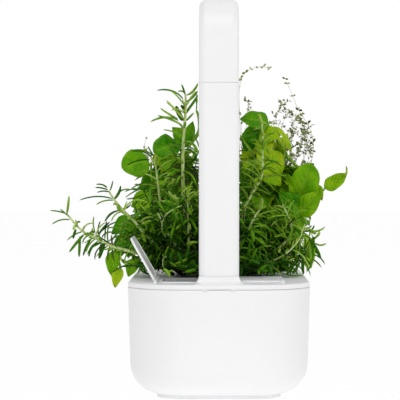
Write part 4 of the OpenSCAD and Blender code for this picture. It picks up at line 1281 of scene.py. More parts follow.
@dataclass
class Basil(Herb):
    """Basil: soft stems with broad puckered leaves, brighter at the tips and on top, partly young growth and
    partly painted light, with painted shade dark inside.
    """

    stalks: tuple[tuple[Point, ...], ...] = (
        ((-1.5, 34, 81.8), (-17.7, 30, 112.9), (-25.3, 24, 147.7), (-23.7, 20, 173.7)),
        ((-1.5, 32, 81.9), (-22.3, 26, 105.3), (-45.2, 20, 128.5), (-51.2, 18, 147.7), (-51.9, 16, 160.7)),
        ((-1.5, 34, 81.8), (-37.6, 24, 101.6), (-63.5, 18, 113.3), (-75.3, 12, 102), (-79.8, 10, 93)),
        ((1.5, 34, 81.8), (23.9, 28, 113), (39.1, 20, 136.2), (46.6, 16, 150.7), (49.7, 18, 170.6),
         (40.5, 18, 181.3)),
        ((1.5, 34, 81.8), (33.1, 26, 101.5), (49.7, 18, 115.6), (61.8, 16, 128.6), (71.3, 22, 138.5),
         (80.8, 26, 140)),
        ((1.5, 34, 81.8), (33.2, 30, 112.9), (33.1, 28, 139.9), (33.8, 26, 163), (36.9, 24, 187.6)),
        ((1.5, 30, 82.1), (32.9, 20, 94.1), (54.2, 16, 103.4), (66.3, 14, 105)),
        ((1.5, 32, 81.8), (24, 26, 125), (29, 16, 158), (16.6, 14, 181)),
        ((33.8, 26, 163), (46, 20, 170), (57, 16, 160.5), (66, 13, 151.5)),
        ((-23.7, 20, 173.7), (-15.8, 24, 184), (-15.5, 26, 195), (-17.3, 26, 201)),
        ((-70, 14, 107), (-67, 11, 97), (-63.9, 10, 88.6)),
        ((-79.8, 10, 93), (-77, 9, 87), (-74.4, 8, 81)),
        ((55, 17, 121), (57.5, 13, 121.6), (59.3, 10, 121.1)),
    )
    placed: tuple[Leaf, ...] = (
        Leaf((-22.2, 20, 173.7), (-35.8, 14, 188.1), 13.8, (-0.1, -0.9, 0.3), 0.5, 0.3, 0.3),
        Leaf((-25.3, 24, 176.1), (-19.9, 22, 192.9), 9.2, (0.2, -0.9, 0.3), 0.4, 0.3, 0.3),
        Leaf((-17.5, 26, 200.7), (-17.5, 26, 216.1), 3.8, (1, -0.35, 0), 0.2, 0.2, 0.35),
        Leaf((-50.3, 14, 135.5), (-66.8, 8, 127.2), 16.8, (0, -1, 0.3), 0.5, 0.3, 0.5),
        Leaf((-63.2, 12, 118.8), (-81.7, 8, 106.5), 15.2, (-0.2, -0.9, 0.3), 0.5, 0.3, 0.2),
        Leaf((-79.8, 10, 94.5), (-81.2, 8, 74.1), 11.4, (-0.2, -1, 0.1), 0.4, 0.3, 0.42),
        Leaf((-63.8, 10, 88.4), (-69, 8, 74.1), 9.9, (0.1, -1, 0.1), 0.4, 0.3, 0.4),
        Leaf((-74.3, 8, 80.9), (-78.8, 6, 65.9), 9.1, (-0.3, -1, 0.2), 0.9, 0.5, 0.75),
        Leaf((38.5, 18, 190), (15.6, 12, 194), 17.5, (0, -0.85, 0.55), 0.9, 0.3, 0.3),
        Leaf((34, 22, 185), (15.6, 16, 178), 14, (0, -0.85, 0.5), 0.7, 0.3, 0.2),
        Leaf((45, 20, 186), (30, 14, 176), 14, (0.1, -0.85, 0.5), 0.7, 0.35, 0.62),
        Leaf((45.7, 14, 149.2), (28.8, 8, 173.5), 20.6, (0, -0.9, 0.4), 0.5, 0.3, 0.66),
        Leaf((37.6, 24, 188.4), (54.5, 22, 166.1), 8.4, (0.6, -0.5, 0.6), 1.5, 0.5, 0.72),
        Leaf((59.3, 10, 121.1), (77.5, 6, 139.4), 16.5, (0.25, -0.9, 0.3), 0.4, 0.35, 0.44),
        Leaf((63.8, 10, 121.9), (44.7, 6, 138.6), 16.7, (-0.1, -0.9, 0.3), 0.5, 0.35, 0.22),
        Leaf((80.6, 26, 141), (98.6, 22, 153), 12.5, (-0.1, -0.9, 0.4), -0.5, 0.35, 0.56),
        Leaf((95.6, 22.2, 150.5), (97, 20, 158.8), 3.6, (0.8, -0.6, 0.2), 1.3, 0.4, 0.8),
        Leaf((74.5, 24, 144.6), (79, 22, 131.6), 6.9, (0.2, -1, 0.1), 0.6, 0.4, 0.5),
        Leaf((33.1, 26, 163), (16.9, 22, 178.3), 15.4, (0, -0.9, 0.4), 0.5, 0.3, 0.2),
        Leaf((49.5, 14, 122.5), (63.9, 12, 102), 15.2, (0.2, -0.9, 0.3), 0.6, 0.3, 0.36),
        Leaf((66.3, 14, 105), (70, 12, 80), 9.9, (0.4, -0.9, 0.1), 0.5, 0.4, 0.62),
        Leaf((-57.3, 16, 114.1), (-77, 14, 102), 15.3, (-0.2, -0.9, 0.2), 0.5, 0.3, 0.15),
        Leaf((-43.7, 22, 152.3), (-60.4, 18, 140), 16.9, (0, -0.9, 0.3), 0.5, 0.3, 0.2),
        Leaf((-29.8, 18, 153.8), (-45, 14, 162.9), 15.3, (0, -0.9, 0.4), 0.5, 0.3, 0.35),
        Leaf((28.4, 24, 127.7), (18.4, 20, 147.7), 15.4, (0, -0.9, 0.4), 0.5, 0.3, 0.2),
        Leaf((40, 20, 181), (29, 14, 164), 14, (-0.2, -0.9, 0.3), 0.9, 0.4, 0.72),
        Leaf((35, 22, 187), (45, 18, 177), 10, (0.3, -0.8, 0.5), 1.0, 0.4, 0.78),
        Leaf((31, 20, 166), (19, 14, 150), 14.5, (-0.2, -0.9, 0.3), 0.7, 0.3, 0.62),
        Leaf((36.5, 16, 171), (47.5, 10, 151), 16, (0.1, -0.9, 0.4), 0.6, 0.3, 0.66),
        Leaf((33, 14, 156), (47, 8, 143), 16, (0.2, -0.9, 0.4), 0.7, 0.3, 0.5),
        Leaf((27, 22, 158), (17.5, 18, 170), 12, (-0.3, -0.8, 0.4), 0.6, 0.3, 0.72),
        Leaf((-33, 24, 150), (-20, 18, 163), 14, (0.2, -0.9, 0.4), 0.6, 0.3, 0.4),
        Leaf((-40, 22, 140), (-27, 16, 150), 15, (0.1, -0.9, 0.3), 0.6, 0.3, 0.3),
        Leaf((-34, 20, 134), (-49, 14, 147), 14, (0, -0.9, 0.4), 0.7, 0.3, 0.55),
        Leaf((33, 29, 133), (6, 27, 141), 19, (0, -0.9, 0.4), 0.5, 0.3, 0.25),
        Leaf((27, 29, 116), (4, 27, 125), 17, (0, -0.9, 0.4), 0.5, 0.3, 0.15),
        Leaf((33, 29, 146), (7, 27, 158), 20, (0, -0.9, 0.4), 0.5, 0.3, 0.3),
        Leaf((-71, 14, 107), (-77, 9, 88), 13, (-0.2, -0.9, 0.2), 0.5, 0.3, 0.15),
        Leaf((-66, 17, 111), (-69, 11, 88), 14, (0, -0.9, 0.2), 0.5, 0.3, 0.08),
        Leaf((-60, 19, 111), (-60, 13, 89), 14, (0.1, -0.9, 0.2), 0.5, 0.3, 0.12),
        Leaf((-45.2, 22, 128), (-61, 26, 117), 15, (0, -0.9, 0.4), 0.5, 0.3, 0.12),
        Leaf((-49.5, 20, 146), (-37, 28, 161), 15, (0, -0.9, 0.3), 0.5, 0.3, 0.15),
        Leaf((-25.3, 26, 147), (-45, 30, 153), 15, (0, -0.9, 0.4), 0.5, 0.3, 0.1),
    )
    round_leaves: tuple[Leaf, ...] = (
        Leaf((-53.5, 16, 162.5), (-74, 8, 157), 22.5, (-0.1, -1, 0.3), 0.5, 0.25, 0.36),
        Leaf((-31.4, 22, 176), (-50.1, 14, 168.6), 19.5, (0.15, -0.9, 0.45), 0.6, 0.3, 0.24),
        Leaf((60, 14, 133), (69.5, 8, 160.6), 23, (0.25, -0.9, 0.35), 0.5, 0.4, 0.42),
    )
    fillers: int = 250
    # Ball that each leaf in turn goes to, and steps from a ball's middle to its skin
    order: tuple[int, ...] = (0, 1, 1, 0, 2, 1, 3)
    layers: int = 41
    # Corners that the bush leaves open at the right, above and below
    shoulder: Zone = Zone((55, -10, 159), (140, 80, 300))
    flank: Zone = Zone((72, -10, 60), (140, 80, 128))
    balls: tuple[tuple[Point, Point], ...] = (
        # middle and half size of each flattened ball of leaves
        ((-30.0, 33.0, 138.0), (28.0, 26.0, 36.0)),
        ((44.0, 33.0, 150.0), (30.0, 26.0, 36.0)),
        ((52.0, 33.0, 114.0), (26.0, 24.0, 28.0)),
        ((-46.0, 33.0, 106.0), (30.0, 24.0, 24.0)),
    )

    def inner(self) -> Blades:
        """Leaves that fill the bush, spread through flattened balls and facing out and up, with painted shade
        further in.

        Leaf k stands at the share q = sqrt((k mod n + 0.5) / n) of its ball's half size from the middle, n
        being `layers`, and is turned about the upright by k golden turns, at a random height. It points away
        from the middle and droops a little, and its tone grows with q^2: painted shade deep in the bush.
        Higher leaves are painted lighter, as light from above, and the two balls at the right are lighter,
        still more in their upper halves.

        Returns:
            The leaves, trimmed.
        """
        rng = np.random.default_rng(self.seed)
        n = self.fillers
        k = np.arange(n)
        pick = np.array(self.order)[k % len(self.order)]
        centre, size = (np.array(part)[pick] for part in zip(*self.balls))
        turn, radius = k * GOLDEN_TURN, np.sqrt((k % self.layers + 0.5) / self.layers)
        up = rng.uniform(-1, 1, n)
        ring = np.sqrt(1 - up ** 2)
        way = np.stack([np.cos(turn) * ring, np.sin(turn) * ring, up], 1)
        base = centre + way * radius[:, None] * size
        out = unit(way * size * np.array([1, 1, 0.6]) + rng.normal(0, 9, (n, 3)))
        droop = np.stack([rng.normal(0, 0.35, n), rng.normal(0, 0.35, n), rng.uniform(-0.8, 0.3, n)], 1)
        along = unit(out + droop)
        face = unit(np.array([0, 0, 1.0]) + 0.5 * out + rng.normal(0, 0.3, (n, 3)))
        face = unit(face - along * np.sum(face * along, axis=1, keepdims=True))
        length = rng.uniform(18, 31, n)
        # Painted shade: tone falls towards a ball's middle. Painted light: higher leaves, and the upper
        # halves of the right balls, are lighter
        tone = 0.55 * radius ** 2 * (0.7 + 0.3 * up) + rng.uniform(-0.08, 0.25, n)
        tone += np.where((pick == 1) | (pick == 2), 0.12 + 0.16 * (up > 0), 0.0)
        width = length * rng.uniform(0.55, 0.75, n)
        curl, fold = rng.uniform(0.3, 1.2, n), rng.uniform(0.2, 0.5, n)
        foot = base - along * length[:, None] * 0.5
        shape = {"thickness": 0.35, "stations": 6, "sides": 8, "ruffle": 0.12, "cup": 0.22}
        grown = self.trimmed(Blades(foot, along, face, length, width, curl, fold, np.clip(tone, 0, 1),
                                    Outline.OVATE, **shape))
        rings = grown.points()[0].reshape(len(grown.base), -1, 3)
        return grown.kept(~(self.shoulder.holds(rings) | self.flank.holds(rings)))

    def build(self) -> list[bpy.types.Object]:
        """Builds the bush from its stalks, its placed leaves and the leaves that fill it.

        Returns:
            The leaves and the stems.
        """
        shape = {"thickness": 0.35, "stations": 21, "sides": 24, "ruffle": 0.15, "cup": 0.22}
        placed = Blades.between(self.placed, Outline.OVATE, **shape)
        broad = Blades.between(self.round_leaves, Outline.ROUND, **shape)
        stems = [(spline(points, 3.0), 1.9, 0.9) for points in self.stalks]
        inner = self.inner()
        for foot in inner.base[::3]:
            root = (math.copysign(5, foot[0]), 34.0, 81.0)
            mid = tuple(0.55 * foot + 0.45 * np.array(root) + np.array([0, 0, -6.0]))
            stems.append((spline((root, mid, tuple(foot)), 5.0), 1.2, 0.7))
        leaves = Surface.joined([placed.surface(), broad.surface(), inner.surface()])
        return self.finish(leaves, tubes(stems, tint=0.5))


@dataclass
class Thyme(Herb):
    """Thyme: wiry arching stems with pairs of tiny oval leaves and small tufts at the joints."""

    # Points of each stalk, and the share of it that has few leaves
    stalks: tuple[tuple[tuple[Point, ...], float], ...] = (
        (((4.1, 104, 80.6), (13.8, 102, 131.2), (17.1, 100, 179.9), (16.3, 100, 212.5), (17.1, 102, 225.6),
          (21.2, 104, 234.6), (27.8, 106, 238.8), (35.2, 108, 240.2), (41.8, 110, 238.7)), 1.0),
        (((4.1, 104, 80.6), (35, 104, 114.8), (62.9, 106, 140.9), (74.4, 108, 159.7), (77.4, 110, 176.1),
          (73.7, 110, 190.8), (64.6, 108, 205.5), (59.6, 106, 217.6), (53.8, 104, 229.8)), 1.0),
        (((4.1, 106, 80.5), (29.4, 106, 127), (40, 106, 171.9), (47.4, 108, 200.5), (52.3, 108, 212)), 0.35),
        (((4.1, 108, 80.4), (35.3, 112, 122.8), (46.9, 116, 172.1), (55.9, 116, 204.9)), 0.4),
        (((4.1, 108, 80.4), (43.5, 112, 118.7), (55.8, 114, 159.7), (60.7, 112, 188.4),
          (58.9, 110, 204.7)), 0.4),
        (((4.1, 108, 80.4), (49.9, 110, 118.8), (66, 104, 155.6), (70, 102, 180), (65.8, 100, 195.4)), 0.4),
        (((4.1, 104, 80.6), (41.5, 100, 114.9), (62.4, 96, 147.4), (70.5, 96, 171.8),
          (68.2, 98, 192.9)), 0.4),
        (((-4.1, 104, 80.6), (-31.7, 100, 119), (-49.5, 98, 155.6), (-60.8, 96, 170.1),
          (-58.3, 96, 183.1)), 0.6),
        (((2.5, 108, 80.4), (17.2, 110, 131), (21.3, 112, 172), (23, 112, 198.2), (25.4, 112, 211.3)), 0.5),
        (((2.4, 106, 80.5), (18.7, 100, 127.1), (18.7, 98, 171.8), (17.9, 98, 202.6)), 0.6),
        (((-4.1, 106, 80.5), (-35.9, 104, 110.7), (-56.2, 104, 143.3), (-74, 100, 170.2)), 0.8),
        (((2.4, 104, 80.6), (46.2, 96, 102.9), (65.5, 94, 123.2), (75.4, 96, 141)), 0.4),
    )
    # Joints of the two arches, each with the length of its leaves and their tone
    tufts: tuple[tuple[Point, float, float], ...] = (
        ((17.9, 102, 230), 3.4, 0.6),
        ((21.6, 104, 235), 3.4, 0.45),
        ((26, 106, 238), 2.2, 1.0),
        ((36.5, 108, 240.2), 3.2, 1.0),
        ((41.6, 110, 238.7), 2.4, 1.0),
        ((53.8, 104, 229.8), 2.8, 0.35),
        ((55.5, 105, 226), 2.8, 0.7),
        ((60.5, 106, 216), 2.4, 0.5),
        ((65.2, 108, 204.5), 3.2, 0.1),
        ((68, 108, 201), 2.8, 0.6),
        ((72.6, 110, 194), 3.4, 0.2),
        ((77, 110, 178.5), 3.6, 0.05),
        ((76.5, 110, 171), 2.8, 0.25),
        ((74.4, 108, 160), 3.6, 0.05),
        ((70, 107, 153), 2.6, 0.3),
    )
    # Stalks that fill the low bush; low corner and sizes of the dome that they reach, and its half width
    fillers: int = 60
    dome_low: Point = (-58, 82, 98)
    dome_size: Point = (126, 48, 48)
    dome_half: float = 86
    # Sprays that stand above it; middle and half sizes of the ellipse that they reach
    sprays_up: int = 8
    spray_middle: Point = (54, 106, 188)
    spray_half: Point = (17, 12, 26)
    # Strip along the middle, below the lamp, that twigs keep out of
    strip: Zone = Zone((-15, -200, 60), (15, 200, 400))

    def fan(self) -> list[tuple[tuple[Point, ...], float]]:
        """Stalks that fill the low bush, each out to a point of a flattened dome, and sprays above it.

        Stalk k ends at the fractions of 0.618 k and 0.381 k of the dome's width and depth, and at a random
        share of its height times sqrt(1 - (x / half width)^2). Spray k ends in an upright ellipse, at the
        share sqrt((k + 0.5) / n) of its half sizes and turned by k golden turns, and its y swings with the
        sine of three times that turn.

        Returns:
            Stalks in the form of the field `stalks`.
        """
        rng = np.random.default_rng(self.seed)
        (left, near, base), (wide, deep, high) = self.dome_low, self.dome_size
        made = []
        for k in range(self.fillers):
            x = left + wide * ((k * GOLDEN_SHARE) % 1.0)
            y = near + deep * ((k * DEPTH_SHARE) % 1.0)
            z = base + high * rng.uniform(0, 1) * math.sqrt(max(0.0, 1 - (x / self.dome_half) ** 2))
            foot = (rng.uniform(-8, 8), 106 + rng.uniform(-6, 6), 79.5)
            mid = (x * 0.5, (y + 106) / 2, 80 + (z - 80) * 0.7)
            made.append(((foot, mid, (x, y, z)), 0.15))
        (left, near, base), (wide, deep, high) = self.spray_middle, self.spray_half
        for k in range(self.sprays_up):
            turn, share = k * GOLDEN_TURN, math.sqrt((k + 0.5) / self.sprays_up)
            x, y = left + wide * share * math.cos(turn), near + deep * math.sin(3 * turn)
            z = base + high * share * math.sin(turn)
            made.append((((4, 106, 80), (0.62 * x + 6, y, 126), (x + 9, y, 0.55 * z + 72), (x, y, z)), 0.55))
        return made

    def sprays(self, path: Array, bare: float, rng: np.random.Generator) -> tuple[Blades, list[Array]]:
        """Joints at uneven steps along a stalk, each with a few tiny leaves and now and then a short twig.

        A twig is a straight line of 4 to 11 mm that leaves the stalk at 25 to 60 degrees, with leaves along
        it. A bare stalk has none.

        Args:
            path: Points of the stalk, 2.5 mm apart.
            bare: Share of the stalk with few leaves.
            rng: Source of the variation.

        Returns:
            The leaves, and the points of the twigs.
        """
        tangent = unit(np.gradient(path, axis=0))
        chance = np.where(np.arange(len(path)) / len(path) > bare, 0.55, 0.15)
        rows = np.flatnonzero(rng.uniform(0, 1, len(path)) < chance)
        rows = rows[rows > 1]
        spots, ways = [path[rows]], [tangent[rows]]
        twigs = []
        for k in rows[rng.uniform(0, 1, len(rows)) < (0.4 if bare < 1 else 0)]:
            side = unit(rng.normal(0, 1, 3))
            way = unit(tangent[k] + rng.uniform(0.5, 1.6) * unit(side - tangent[k] * side.dot(tangent[k])))
            steps = np.arange(0, rng.uniform(4, 11), 2.2)[:, None]
            twig = path[k] + way * steps
            if len(twig) > 2 and not self.strip.holds(twig[None]).any():
                twigs.append(twig)
                spots.append(twig[1:])
                ways.append(np.repeat(way[None], len(twig) - 1, axis=0))
        centre, t = np.repeat(np.vstack(spots), 2, axis=0), np.repeat(np.vstack(ways), 2, axis=0)
        n = len(centre)
        turn = rng.uniform(0, 2 * np.pi, n)
        along, face = leaning(t, around(t, turn), rng.uniform(25, 85, n))
        length = rng.uniform(2.0, 4.0, n)
        width, curl = length * rng.uniform(0.45, 0.7, n), rng.uniform(-0.3, 0.9, n)
        tone = rng.uniform(0.6 if bare > 0.9 else 0.0, 1, n)
        fold = np.full(n, 0.2)
        leaves = Blades(centre, along, face, length, width, curl, fold, tone, Outline.OVAL, thickness=0.35,
                        stations=4, sides=4)
        return leaves, twigs

    def clusters(self) -> Blades:
        """A pair of leaves at each tuft, one to each side and the pairs turned unevenly.

        Returns:
            The leaves.
        """
        rng = np.random.default_rng(self.seed + 4)
        foot, length, tone = (np.repeat(np.array(part, float), 2, axis=0) for part in zip(*self.tufts))
        n = len(foot)
        turn = np.tile([0.3, np.pi - 0.3], n // 2) + np.repeat(rng.uniform(-1, 1, n // 2), 2)
        along = unit(np.stack([np.cos(turn), rng.uniform(-0.5, 0.2, n), np.sin(turn)], 1))
        face = unit(np.cross(along, np.cross(np.array([0, -1.0, 0.3]), along)))
        return Blades(foot, along, face, length, 0.6 * length, rng.uniform(0, 0.8, n), np.full(n, 0.2),
                      tone, Outline.OVAL, thickness=0.35, stations=5, sides=6)

    def build(self) -> list[bpy.types.Object]:
        """Builds the bush from its stalks.

        Returns:
            The leaves and the stems.
        """
        rng = np.random.default_rng(self.seed + 1)
        parts, stems = [], []
        for points, bare in [*self.stalks, *self.fan()]:
            path = spline(points, 2.5)
            leaves, twigs = self.sprays(path, bare, rng)
            stems += [(path[::2], 0.4, 0.15), *((twig, 0.16, 0.12) for twig in twigs)]
            parts.append(self.trimmed(leaves).surface())
        parts.append(self.trimmed(self.clusters()).surface())
        return self.finish(Surface.joined(parts), tubes(stems, tint=0.5, sides=5))


# Sprigs that stand out: stem, where the leaves start and end, and leaf length
SPRIGS: tuple[Sprig, ...] = (
    Sprig(((-10.2, -46, 83.9), (-21, -50, 110.2), (-25.3, -54, 133.4), (-26, -56, 155.1),
           (-25.6, -57, 176.7), (-24.1, -57, 196.9), (-24.1, -57, 210.6)), 0.2, 0.95, 22, stem=2.0),
    Sprig(((-10.9, -50, 82.7), (-20.7, -66, 80.9), (-21.7, -72, 105.2), (-22.4, -74, 123.1),
           (-22, -74, 140.8)), 0.3, 1, 21),
    Sprig(((-10.9, -46, 83.9), (-29.9, -44, 100.5), (-40.8, -42, 117.2), (-43.1, -40, 133.2),
           (-45.3, -40, 151.5), (-47.1, -40, 164.6)), 0.2, 0.95, 19),
    Sprig(((-10.9, -48, 84), (-29.6, -56, 91.7), (-42.3, -62, 100.6), (-52.1, -68, 108.7),
           (-60.5, -72, 118.8), (-68.9, -74, 127.3), (-75.2, -75, 135.2),
           (-79.4, -76, 142.3)), 0.25, 0.92, 19),
    Sprig(((-10.9, -50, 82.7), (-35.3, -58, 88.9), (-56.3, -70, 95.2), (-73.8, -76, 100.4),
           (-80.7, -79, 103.4), (-87.7, -80, 107), (-94.7, -80, 110.5), (-101.1, -80, 116.2),
           (-107.5, -80, 123.9)), 0.3, 0.93, 16),
    Sprig(((-6.6, -44, 83.8), (15.2, -50, 97.2), (18.1, -50, 124.7), (24.7, -46, 139.1), (31.4, -42, 151.5),
           (31.8, -38, 166.8), (32.2, -32, 179.6), (31.8, -28, 189)), 0.25, 1, 17),
    Sprig(((-3.6, -46, 83.9), (22.4, -52, 88.6), (41.1, -55, 97.4), (51.2, -56, 107.5), (52, -55, 115.4),
           (46.3, -52, 129.8)), 0.25, 1, 20),
    Sprig(((-3.6, -50, 82.7), (18.7, -60, 84.7), (36.5, -66, 89.3), (49.3, -68, 96.5), (57.8, -68, 106.5),
           (60.1, -66, 115)), 0.25, 1, 19, stem=1.0),
    Sprig(((-3.6, -48, 82.6), (22.5, -50, 91.4), (44.3, -46, 104.2), (59, -44, 112.9), (66.2, -46, 110.1),
           (69.6, -50, 102.2)), 0.3, 1, 18, stem=1.0),
    Sprig(((-9.5, -46, 83.9), (-28.5, -38, 107.6), (-35.9, -36, 129.5), (-34.4, -38, 147.8)), 0.2, 1, 21),
    Sprig(((-9.4, -50, 84.1), (-23.6, -64, 93.5), (-36.1, -78, 110.5), (-43.1, -82, 124.3)), 0.3, 1, 20),
    Sprig(((-5.1, -50, 84.1), (17.2, -64, 104.9), (23.5, -70, 118), (30.7, -70, 129.4)), 0.2, 1, 20),
    Sprig(((-10, -52, 84), (-38, -74, 108), (-38, -96, 122), (-31, -118, 128), (-25, -134, 131)), 0.3, 0.9,
          13, step=3, dark=0.1, bright=0.5, wide=1.9, stem=0.7),
    Sprig(((-10, -50, 83), (-29, -74, 94), (-38, -98, 94), (-38.5, -112, 89), (-36, -121, 84)), 0.5, 0.97,
          9, dark=0.2, bright=0.7, wide=1.9, stations=5, stem=0.5),
)

